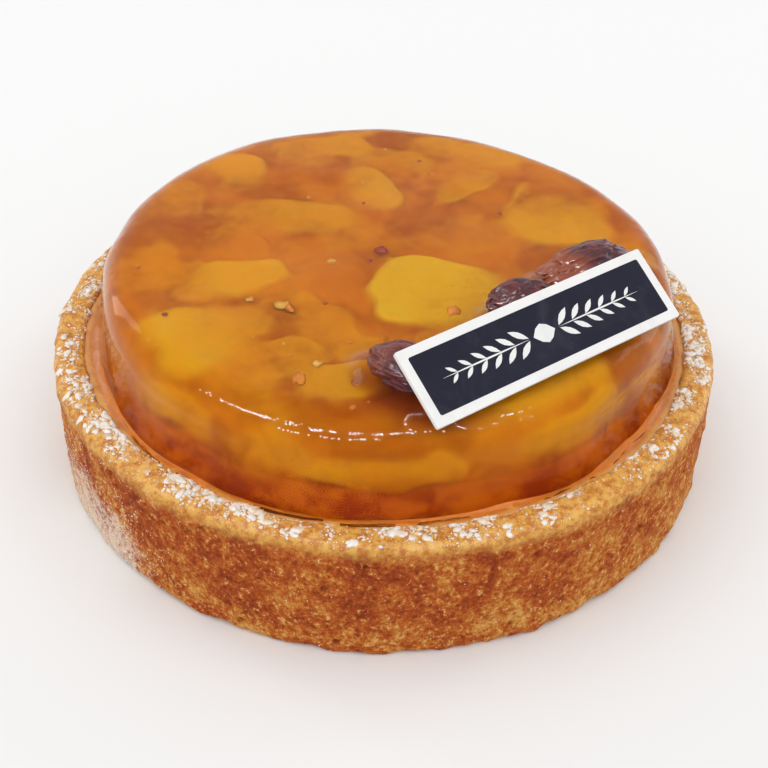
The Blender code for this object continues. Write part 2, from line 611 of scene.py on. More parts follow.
@dataclass(frozen=True)
class ShortcrustFinish:
    """Baked shortcrust: matt and pitted, browned in blotches, with a golden rim, painted shade in its
    pits and painted light on its left and right sides.
    """

    brown: Colour = paint(164, 74, 28)
    deep: Colour = paint(134, 52, 18)
    russet: Colour = paint(182, 92, 36)
    tan: Colour = paint(194, 120, 50)
    straw: Colour = paint(218, 160, 82)
    rim: Colour = paint(198, 122, 50)
    edge: Colour = paint(234, 180, 88)
    # Painted shade: the dark colour put into the pits and small specks.
    pit_shade: Colour = paint(104, 40, 14)
    crumb: Colour = paint(226, 176, 108)
    sugar: Colour = paint(238, 224, 208)
    blotch_size: float = 5.0 * MM
    patch_size: float = 1.5 * MM
    grain_size: float = 0.8 * MM
    fleck_size: float = 0.42 * MM
    foot_height: float = 7.5 * MM
    half_width: float = 40.0 * MM
    golden_start: float = 13.1 * MM
    golden_full: float = 15.5 * MM
    depth: float = 0.60 * MM

    def build(self) -> bpy.types.Material:
        """Build the material.

        Returns:
            The material.
        """
        sheet = Sheet("baked_shortcrust")
        height = sheet.part(2)
        blotch = sheet.noise(self.blotch_size, detail=3.0, roughness=0.6, seed=1.0, warp=0.5)
        patch = sheet.noise(self.patch_size, detail=3.0, roughness=0.65, seed=4.0)
        fleck = sheet.noise(self.fleck_size, detail=2.0, roughness=0.7, seed=9.0)
        grain = sheet.noise(self.grain_size, detail=2.0, roughness=0.7, seed=14.0)
        near_foot = height.rise(self.foot_height, 1.0 * MM)
        # Painted light: tone rises with the square of X, so the left and right sides of the wall are
        # painted lighter than the front.
        across = sheet.part(0) / self.half_width
        tone = ((blotch - 0.5) * 0.75 + 0.5 + (patch - 0.5) * 0.45 + near_foot * 0.07
                + across * across * 0.10 + (fleck - 0.5) * 0.62 + (grain - 0.5) * 0.46)
        wall = sheet.ramp(tone, ((0.32, self.deep), (0.47, self.brown), (0.55, self.russet),
                                 (0.63, self.tan), (0.78, self.straw)))
        # Painted shade: the pits, and the small specks that stand for tiny pits, are darkened towards
        # this colour.
        pit = sheet.stored("pit")
        specks = fleck.rise(0.38, 0.30) * grain.rise(0.55, 0.42)
        wall = sheet.mix(pit * 0.85 + specks * 0.6, wall, self.pit_shade)
        ragged = height + (patch - 0.5) * (1.8 * MM) + (fleck - 0.5) * (0.8 * MM)
        golden = ragged.rise(self.golden_start, self.golden_full)
        mottle = sheet.noise(1.0 * MM, detail=5.0, roughness=0.7, seed=12.0)
        gold = sheet.mix(mottle.rise(0.38, 0.60), self.rim, self.edge)
        colour = sheet.mix(golden, wall, gold)
        # Pale crumbs show more near the foot and, as painted light, more on the left and right sides.
        baked = (grain + near_foot * 0.10 + across * across * 0.05).rise(0.50, 0.64)
        colour = sheet.mix(fleck.rise(0.55, 0.64) * baked * 0.80, colour, self.crumb)
        film = sheet.stored("film") + (patch - 0.5) * 1.1 + (fleck - 0.5) * 1.5
        colour = sheet.mix(film.rise(0.55, 1.0) * 0.8, colour, self.sugar)
        powder = sheet.stored("powder") + (patch - 0.5) * 1.4 + (fleck - 0.5) * 1.6
        colour = sheet.mix(powder.rise(0.35, 1.15) * 0.75, colour, self.sugar)
        relief = patch * 0.35 + fleck * 0.35 + grain * 0.3
        return sheet.finish({
            "Base Color": colour,
            "Roughness": 0.80 - golden * 0.40,
            "Specular IOR Level": 0.10,
            "Coat Weight": golden * 0.20,
            "Coat Roughness": 0.36,
            "Normal": sheet.bump(relief, self.depth),
        })


@dataclass(frozen=True)
class CreamFinish:
    """Baked almond cream under a film of glaze, in the groove round the disc."""

    pale: Colour = paint(226, 166, 88)
    amber: Colour = paint(216, 136, 48)
    dark: Colour = paint(200, 116, 34)
    cloud_size: float = 3.0 * MM
    lump_size: float = 0.9 * MM
    depth: float = 0.30 * MM

    def build(self) -> bpy.types.Material:
        """Build the material.

        Returns:
            The material.
        """
        sheet = Sheet("glazed_almond_cream")
        cloud = sheet.noise(self.cloud_size, detail=3.0, roughness=0.6, seed=3.0, warp=0.6)
        outwards = sheet.stored("outwards") + (cloud - 0.5) * 1.5
        colour = sheet.ramp(outwards, ((0.15, self.dark), (0.50, self.amber), (0.85, self.pale)))
        relief = sheet.noise(self.lump_size, detail=2.0, seed=5.0)
        return sheet.finish({
            "Base Color": colour,
            "Roughness": 0.45,
            "Coat Weight": 0.30,
            "Coat Roughness": 0.30,
            "Normal": sheet.bump(relief, self.depth, 0.9),
        })


@dataclass(frozen=True)
class JellyFinish:
    """Clear amber jelly, a little cloudy inside and very glossy outside."""

    tint: Colour = (1.0, 0.97, 0.90)
    haze: Colour = (1.0, 0.90, 0.72)
    absorbing: Colour = (0.985, 0.80, 0.22)
    density: float = 170.0
    cloudiness: float = 0.23
    bend: float = 1.13
    skin_bend: float = 1.17
    cloud_size: float = 7.0 * MM
    ripple_size: float = 4.0 * MM
    ripple_depth: float = 0.12 * MM

    def build(self) -> bpy.types.Material:
        """Build the material.

        Returns:
            The material.
        """
        sheet = Sheet("apple_jelly")
        cloud = sheet.noise(self.cloud_size, detail=3.0, roughness=0.55, seed=7.0, warp=0.8)
        colour = sheet.mix(cloud.rise(0.38, 0.66), self.tint, self.haze)
        ripple = sheet.noise(self.ripple_size, detail=1.0, seed=2.0)
        amber = {"Color": self.absorbing, "Density": self.density}
        volume = sheet.add("ShaderNodeVolumeAbsorption", {}, amber)
        return sheet.finish({
            "Base Color": colour,
            "Roughness": self.cloudiness,
            "IOR": self.bend,
            "Specular Tint": (0.1, 0.1, 0.1),
            "Transmission Weight": 1.0,
            "Coat Weight": 1.0,
            "Coat IOR": self.skin_bend,
            "Coat Roughness": 0.02,
            "Normal": sheet.bump(ripple, self.ripple_depth, 0.25),
        }, volume)


@dataclass(frozen=True)
class CookedFruitFinish:
    """Cooked apple pieces in caramel: yellow near the surface and brown between the pieces, with
    painted shade round the dried fruits.
    """

    yellow: Colour = (0.560, 0.340, 0.014)
    orange: Colour = (0.570, 0.238, 0.004)
    caramel: Colour = (0.450, 0.142, 0.006)
    deep: Colour = (0.305, 0.078, 0.003)
    glow: Colour = (0.370, 0.068, 0.002)
    ember: Colour = (0.182, 0.012, 0.001)
    # Painted shade: the dark red put round and under the dried fruits.
    fruit_shade_colour: Colour = (0.22, 0.028, 0.006)
    fibre_size: float = 3.2 * MM
    lump_size: float = 7.0 * MM
    mote_size: float = 0.55 * MM
    low_start: float = 21.8 * MM
    low_full: float = 16.2 * MM
    depth: float = 0.3 * MM

    def build(self) -> bpy.types.Material:
        """Build the material.

        Returns:
            The material.
        """
        sheet = Sheet("cooked_apple")
        fibre = sheet.noise(self.fibre_size, detail=6.0, roughness=0.74, seed=21.0, warp=0.8)
        lump = sheet.noise(self.lump_size, detail=2.0, roughness=0.5, seed=31.0, warp=0.4)
        ripeness = sheet.stored("ripeness") + (fibre - 0.5) * 1.7
        flesh = sheet.mix(ripeness.rise(0.0, 1.0), self.yellow, self.orange)
        heart = sheet.mix(lump.rise(0.36, 0.64), self.deep, self.caramel)
        shown = (sheet.stored("level") + (fibre - 0.5) * 1.5).rise(-0.1, 1.05)
        colour = sheet.mix(shown, heart, flesh)
        low = (sheet.part(2) + (lump - 0.5) * (3.0 * MM)).rise(self.low_start, self.low_full)
        coals = sheet.mix((lump + (fibre - 0.5) * 0.8).rise(0.34, 0.66), self.ember, self.glow)
        colour = sheet.mix(low * 0.90, colour, coals)
        # Painted shade round and under the dried fruits.
        colour = sheet.mix(sheet.stored("fruit_shade") * 0.75, colour, self.fruit_shade_colour)
        mote = sheet.noise(self.mote_size, detail=2.0, roughness=0.7, seed=37.0)
        colour = sheet.mix(mote.rise(0.64, 0.72) * 0.5, colour, self.deep)
        return sheet.finish({
            "Base Color": colour,
            "Roughness": 0.6,
            "Specular IOR Level": 0.0,
            "Normal": sheet.bump(fibre, self.depth, 0.5),
        })


@dataclass(frozen=True)
class ScrapFinish:
    """Soft scraps of cherry, spice, orange and pale apple, told apart by their shade."""

    cherry: Colour = (0.26, 0.022, 0.012)
    brown: Colour = (0.34, 0.100, 0.010)
    orange: Colour = (0.56, 0.190, 0.010)
    pale: Colour = (0.58, 0.350, 0.070)
    pulp_size: float = 0.5 * MM
    depth: float = 0.1 * MM

    def build(self) -> bpy.types.Material:
        """Build the material.

        Returns:
            The material.
        """
        sheet = Sheet("fruit_scraps")
        pulp = sheet.noise(self.pulp_size, detail=2.0, seed=71.0)
        shade = sheet.stored("shade") + (pulp - 0.5) * 0.25
        stops = ((0.05, self.cherry), (0.33, self.brown), (0.66, self.orange), (0.95, self.pale))
        return sheet.finish({
            "Base Color": sheet.ramp(shade, stops),
            "Roughness": 0.5,
            "Normal": sheet.bump(pulp, self.depth, 0.4),
        })


@dataclass(frozen=True)
class GlintFinish:
    """White and pale amber of the beads, painted highlights that stand for glints on the jelly's
    shoulder.
    """

    white: Colour = (0.95, 0.93, 0.88)
    amber: Colour = (0.93, 0.80, 0.55)
    tint_size: float = 2.0 * MM

    def build(self) -> bpy.types.Material:
        """Build the material.

        Returns:
            The material.
        """
        sheet = Sheet("painted_glint_beads")
        tint = sheet.noise(self.tint_size, detail=1.0, seed=77.0)
        return sheet.finish({
            "Base Color": sheet.mix(tint.rise(0.45, 0.60), self.white, self.amber),
            "Roughness": 0.2,
            "Coat Weight": 1.0,
            "Coat Roughness": 0.1,
        })


@dataclass(frozen=True)
class DriedFruitFinish:
    """Dark red wrinkled skin under a thin glaze, with painted shade in its folds."""

    dark: Colour = paint(56, 12, 30)
    red: Colour = paint(94, 20, 30)
    rosy: Colour = paint(128, 46, 46)
    tan: Colour = paint(160, 78, 40)
    wrinkle_size: float = 1.8 * MM
    depth: float = 0.2 * MM

    def build(self) -> bpy.types.Material:
        """Build the material.

        Returns:
            The material.
        """
        sheet = Sheet("glazed_dried_fruit")
        skin = sheet.noise(self.wrinkle_size, detail=4.0, roughness=0.65, seed=41.0, warp=0.8)
        colour = sheet.ramp(skin, ((0.36, self.dark), (0.52, self.red), (0.70, self.rosy)))
        # Painted shade: the folds are darkened.
        colour = sheet.mix(sheet.stored("fold_and_shade") * 0.6, colour, self.dark)
        colour = sheet.mix(sheet.stored("glazed") * 0.8, colour, self.tan)
        return sheet.finish({
            "Base Color": colour,
            "Roughness": 0.40,
            "Specular IOR Level": 0.25,
            "Coat Weight": 0.55,
            "Coat Roughness": 0.06,
            "Normal": sheet.bump(skin, self.depth, 0.6),
        })


class Print(Enum):
    """The coloured layers of the card."""

    BOARD = "card_board"
    FIELD = "card_field"
    ORNAMENT = "card_ornament"


@dataclass(frozen=True)
class PrintFinish:
    """Smooth coated card or the ink printed on it."""

    layer: Print
    colour: Colour
    rub: Colour
    roughness: float
    gloss: float
    smear_size: float = 6.0 * MM
    grain_size: float = 0.3 * MM
    depth: float = 0.01 * MM

    def build(self) -> bpy.types.Material:
        """Build the material.

        Returns:
            The material.
        """
        sheet = Sheet(self.layer.value)
        smear = sheet.noise(self.smear_size, detail=4.0, roughness=0.65, seed=51.0, warp=1.0)
        grain = sheet.noise(self.grain_size, detail=1.0, seed=53.0)
        colour = sheet.mix(smear.rise(0.45, 0.75), self.colour, self.rub)
        return sheet.finish({
            "Base Color": colour,
            "Roughness": smear * 0.16 + (self.roughness - 0.08),
            "Specular IOR Level": 0.12,
            "Coat Weight": self.gloss,
            "Coat Roughness": 0.06,
            "Normal": sheet.bump(grain, self.depth, 0.5),
        })


@dataclass(frozen=True)
class SugarFinish:
    """Icing sugar, partly melted into wet white crumbs."""

    white: Colour = (0.88, 0.84, 0.78)
    cream: Colour = (0.82, 0.66, 0.46)
    damp_size: float = 0.9 * MM
    grain_size: float = 0.12 * MM
    depth: float = 0.05 * MM

    def build(self) -> bpy.types.Material:
        """Build the material.

        Returns:
            The material.
        """
        sheet = Sheet("icing_sugar")
        damp = sheet.noise(self.damp_size, detail=2.0, seed=61.0)
        colour = sheet.mix(damp.rise(0.44, 0.66), self.white, self.cream)
        return sheet.finish({
            "Base Color": colour,
            "Roughness": 0.62 - damp * 0.3,
            "Coat Weight": 0.25,
            "Normal": sheet.bump(sheet.noise(self.grain_size, seed=62.0), self.depth, 0.7),
        })


@dataclass(frozen=True)
class FloorFinish:
    """A plain pale sheet of studio paper."""

    colour: Colour = (0.868, 0.878, 0.880)

    def build(self) -> bpy.types.Material:
        """Build the material.

        Returns:
            The material.
        """
        sockets = {"Base Color": self.colour, "Roughness": 0.9, "Specular IOR Level": 0.0}
        return Sheet("studio_paper").finish(sockets)


# ---------------------------------------------------------------- forms that pieces share


@dataclass(frozen=True)
class CrustForm:
    """Outside form and relief of the shortcrust shell."""

    radius: float = 40.0 * MM
    height: float = 15.8 * MM
    wall: float = 3.5 * MM
    floor: float = 3.2 * MM
    rim_outer: float = 1.1 * MM
    rim_inner: float = 0.6 * MM
    foot: float = 0.9 * MM
    columns: int = 900
    lumps: Relief = Relief(8.0 * MM, 0.28 * MM, 11, 2)
    crumb: Relief = Relief(1.7 * MM, 0.30 * MM, 21, 3)
    ragged: Relief = Relief(2.4 * MM, 0.32 * MM, 57, 3)
    film_cloud: Relief = Relief(3.0 * MM, 0.8, 61, 2)
    pit_size: float = 2.4 * MM
    pit_depth: float = 0.62 * MM
    pore_size: float = 1.05 * MM
    pore_depth: float = 0.30 * MM
    hollow: float = 0.34

    def profile(self) -> Profile:
        """Draw the profile of the shell, with close points where it shows.

        Returns:
            The profile.
        """
        inner = self.radius - self.wall
        outer_bend = self.radius - self.rim_outer
        inner_bend = inner + self.rim_inner
        return Profile.through((
            ("line", 0.3 * self.radius, 0.0, 1),
            ("line", self.radius - self.foot - 2.0 * MM, 0.0, 3),
            ("line", self.radius - self.foot, 0.0, 4),
            ("arc", self.radius - self.foot, self.foot, self.foot, -90.0, 0.0, 5),
            ("line", self.radius, self.height - self.rim_outer, 56),
            ("arc", outer_bend, self.height - self.rim_outer, self.rim_outer, 0.0, 90.0, 8),
            ("line", inner_bend, self.height, 8),
            ("arc", inner_bend, self.height - self.rim_inner, self.rim_inner, 90.0, 180.0, 4),
            ("line", inner, self.height - 3.0 * MM, 6),
            ("line", inner, self.floor, 2),
            ("line", 0.3 * self.radius, self.floor, 2),
        ))

    def baked(self, spots: np.ndarray) -> tuple[np.ndarray, np.ndarray]:
        """Work out the relief of the baked surface.

        Args:
            spots: Points of the plain form.

        Returns:
            How far each point moves outwards, and how deep it lies in a pit.
        """
        height = spots[..., 2]
        pits = pit_noise(spots, self.pit_size, 31, self.hollow)
        pores = pit_noise(spots, self.pore_size, 47, self.hollow)
        on_wall = ease(height, self.height - 0.2 * MM, self.height - 1.2 * MM)
        depth = (pits * self.pit_depth + pores * self.pore_depth) * (0.25 + 0.75 * on_wall)
        foot = ease(height, 2.6 * MM, 0.2 * MM) * self.ragged.over(spots)
        rise = self.lumps.over(spots) + self.crumb.over(spots) + foot - depth
        return rise, np.maximum(pits, pores * 0.8) * on_wall

    def powder(self, spots: np.ndarray) -> np.ndarray:
        """Work out how much icing sugar dusts the wall, most of all at the front left.

        Args:
            spots: Points of the wall.

        Returns:
            The cover of each point, from 0 to 1.
        """
        bearing = np.degrees(np.arctan2(spots[..., 1], spots[..., 0]))
        side = ease(bearing, -172.0, -150.0) * ease(bearing, -122.0, -140.0)
        low = ease(spots[..., 2], 13.5 * MM, 2.0 * MM)
        return side * (0.15 + 0.85 * low) * ease(spots[..., 2], 15.0 * MM, 13.0 * MM)

    def sugared(self, bearing: np.ndarray) -> np.ndarray:
        """Work out how thickly the rim is sugared, most of all at the front left.

        Args:
            bearing: Bearings in radians.

        Returns:
            The sugar there, from 0 to 1.
        """
        heavy = np.exp(-((bearing + 2.18) / 0.45) ** 2)
        right = np.exp(-((bearing + 0.45) / 0.5) ** 2)
        return 0.40 + 0.60 * heavy + 0.12 * right

    def film(self, spots: np.ndarray) -> np.ndarray:
        """Work out how much melted sugar films the rim.

        Args:
            spots: Points of the rim.

        Returns:
            The film on each point, from 0 to 1.
        """
        bearing = np.arctan2(spots[..., 1], spots[..., 0])
        reach = np.hypot(spots[..., 0], spots[..., 1])
        on_top = ease(spots[..., 2], self.height - 0.9 * MM, self.height - 0.2 * MM)
        inside = ease(reach, self.radius + 0.4 * MM, self.radius - 1.6 * MM)
        cloud = 0.5 + self.film_cloud.over(spots)
        return on_top * inside * cloud * (0.35 + 0.65 * self.sugared(bearing))

    def surface(self, bearing: np.ndarray,
                along: np.ndarray) -> tuple[np.ndarray, np.ndarray, np.ndarray]:
        """Find points of the baked surface.

        Args:
            bearing: Bearings in radians.
            along: Places along the profile, counted in its points.

        Returns:
            The points, their outward normals and how deep they lie in a pit.
        """
        profile = self.profile()
        normal_reach, normal_height = profile.normals()
        count = np.arange(len(profile.reach))
        reach = np.interp(along, count, profile.reach)
        height = np.interp(along, count, profile.height)
        outwards = np.interp(along, count, normal_reach)
        upwards = np.interp(along, count, normal_height)
        spots = upright(bearing, reach, height)
        normals = upright(bearing, outwards, upwards)
        rise, pit = self.baked(spots)
        moved = spots + normals * rise[..., None]
        moved[..., 2] = np.maximum(moved[..., 2], 0.0)
        return moved, normals, pit


@dataclass(frozen=True)
class FruitForm:
    """Place and size of one dried fruit on the disc."""

    node: str
    x: float
    y: float
    half_length: float
    half_width: float
    thick: float
    bearing: float
    seed: int
    glazed: float
    tan: float

    def local(self, x: np.ndarray, y: np.ndarray) -> tuple[np.ndarray, np.ndarray]:
        """Measure places from the fruit's middle.

        Args:
            x: Their X.
            y: Their Y.

        Returns:
            Places along and across the fruit, as shares of its half sizes.
        """
        angle = math.radians(self.bearing)
        along = (x - self.x) * math.cos(angle) + (y - self.y) * math.sin(angle)
        across = (y - self.y) * math.cos(angle) - (x - self.x) * math.sin(angle)
        return along / self.half_length, across / self.half_width


FRUITS = (
    FruitForm("dried_fruit_left", 2.5 * MM, -26.3 * MM, 4.6 * MM, 3.1 * MM, 4.3 * MM,
              -36.0, 3, 1.7 * MM, 0.35),
    FruitForm("dried_fruit_small", 7.0 * MM, -20.7 * MM, 2.4 * MM, 1.7 * MM, 2.6 * MM,
              60.0, 11, 0.9 * MM, 0.0),
    FruitForm("dried_fruit_middle", 14.8 * MM, -13.6 * MM, 4.0 * MM, 2.7 * MM, 4.7 * MM,
              26.0, 19, 1.0 * MM, 0.1),
    FruitForm("dried_fruit_right", 22.4 * MM, -6.0 * MM, 6.6 * MM, 3.0 * MM, 4.7 * MM,
              37.0, 27, 1.5 * MM, 1.0),
)


@dataclass(frozen=True)
class DiscForm:
    """Outside form of the apple disc: lobed outline, leaning wall, round shoulder, soft top."""

    bottom: float = 15.1 * MM
    top: float = 25.9 * MM
    radius: float = 35.3 * MM
    shoulder: float = 4.2 * MM
    draft: float = 1.0 * MM
    slope: float = 0.6 * MM
    high_bearing: float = -135.0
    swell: float = 0.12 * MM
    back_bearing: float = 103.0
    back_spread: float = 22.0
    back_depth: float = 0.8 * MM
    lobes: tuple[tuple[int, float, float], ...] = (
        (2, 0.35 * MM, -80.0), (3, 0.35 * MM, 10.0), (4, 0.25 * MM, -45.0))
    lobe_fade: int = 6
    uneven: Relief = Relief(9.5 * MM, 0.80 * MM, 83, 2)

    @property
    def flat(self) -> float:
        """Reach of the flat part of the top."""
        return self.radius - self.draft - self.shoulder

    def lobed(self, bearing: np.ndarray, reach: np.ndarray) -> np.ndarray:
        """Give reaches the lobes of the outline, which fade inwards.

        Args:
            bearing: Bearings in radians.
            reach: Reaches of the round form.

        Returns:
            The reaches of the lobed form.
        """
        fade = (reach / self.radius) ** self.lobe_fade
        total = reach
        for count, depth, crest in self.lobes:
            total = total + depth * fade * np.cos(count * (bearing - math.radians(crest)))
        behind = (bearing - math.radians(self.back_bearing)) / math.radians(self.back_spread)
        return total + self.back_depth * fade * np.exp(-behind ** 2)

    def swelling(self, x: np.ndarray, y: np.ndarray) -> np.ndarray:
        """Work out how far the top stands above its mean height.

        Args:
            x: X of the places.
            y: Y of the places.

        Returns:
            The rise of each place.
        """
        high = math.radians(self.high_bearing)
        slope = (x * math.cos(high) + y * math.sin(high)) / self.radius
        ripple = np.sin(190.0 * x + 1.0) * np.cos(160.0 * y - 0.4)
        return self.slope * slope + self.swell * ripple

    def top_over(self, x: np.ndarray, y: np.ndarray) -> np.ndarray:
        """Find the height of the top, with its rounded shoulder.

        Args:
            x: X of the places.
            y: Y of the places.

        Returns:
            The height over each place.
        """
        bearing = np.arctan2(y, x)
        flat = self.lobed(bearing, np.full_like(bearing, self.flat))
        over = np.clip(np.hypot(x, y) - flat, 0.0, self.shoulder)
        drop = self.shoulder - np.sqrt(self.shoulder ** 2 - over ** 2)
        return self.top + self.swelling(x, y) - drop

    def bulged(self, spots: np.ndarray) -> np.ndarray:
        """Push points out and in where the disc's set edge is uneven.

        Args:
            spots: Points of the disc.

        Returns:
            The moved points.
        """
        reach = np.hypot(spots[..., 0], spots[..., 1])
        outer = ease(reach, self.flat - 3.0 * MM, self.radius - self.draft)
        bulge = self.uneven.over(spots * np.array([1.0, 1.0, 0.5])) * outer
        share = (1.0 + bulge / np.maximum(reach, TINY))[..., None]
        return spots * np.concatenate([share, share, np.ones_like(share)], axis=-1)

    def place(self, bearing: np.ndarray, reach: np.ndarray, height: np.ndarray) -> np.ndarray:
        """Place points of the disc.

        Args:
            bearing: Bearings in radians.
            reach: Reaches of the plain profile.
            height: Heights of the plain profile.

        Returns:
            The points.
        """
        rise = (height - self.bottom) / (self.top - self.bottom)
        spots = upright(bearing, self.lobed(bearing, reach), height)
        spots[..., 2] += self.swelling(spots[..., 0], spots[..., 1]) * rise
        return spots


# ---------------------------------------------------------------- sub-assemblies


@dataclass
class Crust:
    """The shortcrust shell, from its foot to its rim."""

    form: CrustForm

    def build(self) -> bpy.types.Object:
        """Build and dress the shell.

        Returns:
            The piece.
        """
        bearing, reach, _ = self.form.profile().turned(self.form.columns)
        along = np.broadcast_to(np.arange(len(reach), dtype=float)[:, None], reach.shape)
        spots, _, pit = self.form.surface(bearing, along)
        points, faces = close_rings(spots, 0.0, self.form.floor)
        piece = add_piece("shortcrust_shell", points, faces, ShortcrustFinish().build(),
                          ["pastry_shell"])
        mark(piece, "pit", np.append(pit.ravel(), (0.0, 0.0)))
        mark(piece, "powder", self.form.powder(points))
        mark(piece, "film", self.form.film(points))
        return piece


@dataclass
class Cream:
    """The almond cream, which shows as a glazed groove between crust and disc."""

    crust: CrustForm
    top: float = 15.2 * MM
    rise: float = 0.25 * MM
    columns: int = 720
    ripple: Relief = Relief(2.6 * MM, 0.28 * MM, 71, 3)

    def build(self) -> bpy.types.Object:
        """Build and dress the cream.

        Returns:
            The piece.
        """
        reach = self.crust.radius - self.crust.wall + 0.1 * MM
        profile = Profile.through((
            ("line", reach - 1.0 * MM, self.crust.floor + 0.2 * MM, 3),
            ("line", reach, self.crust.floor + 1.2 * MM, 2),
            ("line", reach, self.top - 0.35 * MM, 3),
            ("line", reach - 4.0 * MM, self.top, 18),
            ("line", reach * 0.4, self.top, 2),
        ))
        bearing, rings, height = profile.turned(self.columns)
        spots = upright(bearing, rings, height)
        near_top = ease(height, self.top - 0.6 * MM, self.top - 0.35 * MM)
        outer = ease(rings, reach - 0.7 * MM, reach) * 0.10 * MM
        inner = ease(rings, reach - 1.0 * MM, reach - 2.0 * MM) * 0.5 * MM
        spots[..., 2] += near_top * (self.ripple.over(spots) + outer + inner + self.rise)
        points, faces = close_rings(spots, self.crust.floor + 0.2 * MM, self.top)
        piece = add_piece("almond_cream_bake", points, faces, CreamFinish().build(),
                          ["almond_cream"])
        away = np.hypot(points[:, 0], points[:, 1])
        mark(piece, "outwards", ease(away, reach - 1.3 * MM, reach - 0.2 * MM))
        return piece


class Side(Enum):
    """Which face of the disc an apple piece lies behind."""

    TOP = "top"
    WALL = "wall"


@dataclass(frozen=True)
class CookedPiece:
    """One cooked apple piece that shows through the jelly, in millimetres and degrees.

    On the wall, x is a bearing in degrees and y is a height.  Level says how near the piece
    comes to the surface, and ripeness how orange it is.
    """

    x: float
    y: float
    length: float
    width: float
    turn: float
    level: float
    ripeness: float
    side: Side = Side.TOP
    softness: float = 0.22
    dip: float = 200.0

    def cover(self, spots: np.ndarray, reach: float) -> tuple[np.ndarray, np.ndarray]:
        """Work out how fully the piece covers points, and how it sinks towards its dip.

        Args:
            spots: The points.
            reach: Reach of the disc's wall.

        Returns:
            The cover, from 0 outside to 1 inside, and the piece's level there.
        """
        away = np.hypot(spots[..., 0], spots[..., 1])
        if self.side is Side.WALL:
            bearing = np.degrees(np.arctan2(spots[..., 1], spots[..., 0]))
            turned = (bearing - self.x + 180.0) % 360.0 - 180.0
            across, up = np.radians(turned) * reach / MM, spots[..., 2] / MM - self.y
            on_side = ease(away, reach - 5.0 * MM, reach - 2.0 * MM)
        else:
            across, up = spots[..., 0] / MM - self.x, spots[..., 1] / MM - self.y
            on_side = ease(away, reach, reach - 3.0 * MM)
        angle = math.radians(self.turn)
        along = (across * math.cos(angle) + up * math.sin(angle)) / (self.length * 0.5)
        aside = (up * math.cos(angle) - across * math.sin(angle)) / (self.width * 0.5)
        powers = np.abs(along) ** SQUARENESS + np.abs(aside) ** SQUARENESS
        lean = math.radians(self.dip - self.turn)
        down = along * math.cos(lean) + aside * math.sin(lean)
        soft = self.softness * (0.45 + 0.9 * ease(down, -0.6, 0.9))
        cover = ease(powers ** (1.0 / SQUARENESS), 1.0 + soft * 0.5, 1.0 - soft) * on_side
        return cover, self.level * (1.0 - 0.45 * ease(down, -0.5, 1.1))


SHOWN_PIECES = (
    CookedPiece(-11.0, 30.0, 22.0, 6.0, 20.0, 0.8, 1.0, softness=0.5),
    CookedPiece(13.0, 29.5, 18.0, 6.0, -24.0, 0.7, 1.0, softness=0.5),
    CookedPiece(-13.0, 8.3, 18.0, 9.5, 4.0, 0.55, 0.55, softness=0.35),
    CookedPiece(-2.0, 16.3, 6.5, 12.0, 20.0, 0.65, 0.5),
    CookedPiece(-27.5, 12.0, 9.0, 11.0, 15.0, 0.45, 0.75, softness=0.4),
    CookedPiece(10.0, 27.0, 17.0, 7.0, -16.0, 0.70, 0.7, softness=0.4),
    CookedPiece(-8.0, 27.5, 12.0, 6.0, 12.0, 0.70, 0.7, softness=0.4),
    CookedPiece(25.0, 24.0, 10.0, 8.0, 40.0, 0.35, 0.6, softness=0.4),
    CookedPiece(9.0, 5.5, 13.0, 8.5, 30.0, 0.22, 0.5, softness=0.45),
    CookedPiece(-28.0, -4.0, 8.0, 12.0, 8.0, 0.40, 0.85, softness=0.4),
    CookedPiece(-9.0, -13.0, 11.0, 9.0, -30.0, 0.30, 0.35, softness=0.4),
    CookedPiece(-11.0, -22.0, 11.0, 8.0, 15.0, 0.55, 0.55, softness=0.35),
    CookedPiece(-20.5, -18.5, 15.5, 13.0, 18.0, 1.0, 0.55, softness=0.36, dip=20.0),
    CookedPiece(-20.8, 21.7, 9.5, 7.0, -25.0, 1.0, 0.85, softness=0.35),
    CookedPiece(-17.1, -5.4, 12.0, 7.2, 22.0, 1.1, 0.62, softness=0.30, dip=200.0),
    CookedPiece(21.6, 10.3, 14.5, 12.5, 12.0, 0.72, 0.55, softness=0.36, dip=80.0),
    CookedPiece(5.8, -7.4, 16.5, 14.0, -8.0, 1.0, 0.10, softness=0.20, dip=-20.0),
    CookedPiece(-3.5, -25.5, 11.0, 6.5, 10.0, 0.85, 0.5),
    CookedPiece(16.0, -25.0, 20.0, 9.0, 38.0, 0.75, 0.42, softness=0.45),
    CookedPiece(-92.0, 20.6, 15.0, 4.6, 0.0, 0.85, 0.9, Side.WALL, 0.4, 90.0),
    CookedPiece(-114.0, 20.3, 6.5, 6.0, 0.0, 0.45, 0.9, Side.WALL, 0.4),
    CookedPiece(-136.0, 21.0, 9.0, 5.0, 10.0, 0.7, 0.8, Side.WALL, 0.5),
    CookedPiece(-54.0, 21.5, 18.0, 5.5, 6.0, 0.65, 0.6, Side.WALL, 0.45),
    CookedPiece(-30.0, 19.5, 10.0, 5.0, -10.0, 0.6, 0.7, Side.WALL),
)


class Tint(Enum):
    """Colours of the small scraps in the jelly, as places on the scraps' ramp."""

    CHERRY = 0.0
    BROWN = 0.33
    ORANGE = 0.66
    PALE = 1.0


@dataclass(frozen=True)
class Scrap:
    """A small scrap of fruit or spice just under the jelly's surface, in millimetres."""

    x: float
    y: float
    size: float
    tint: Tint
    depth: float = 0.6


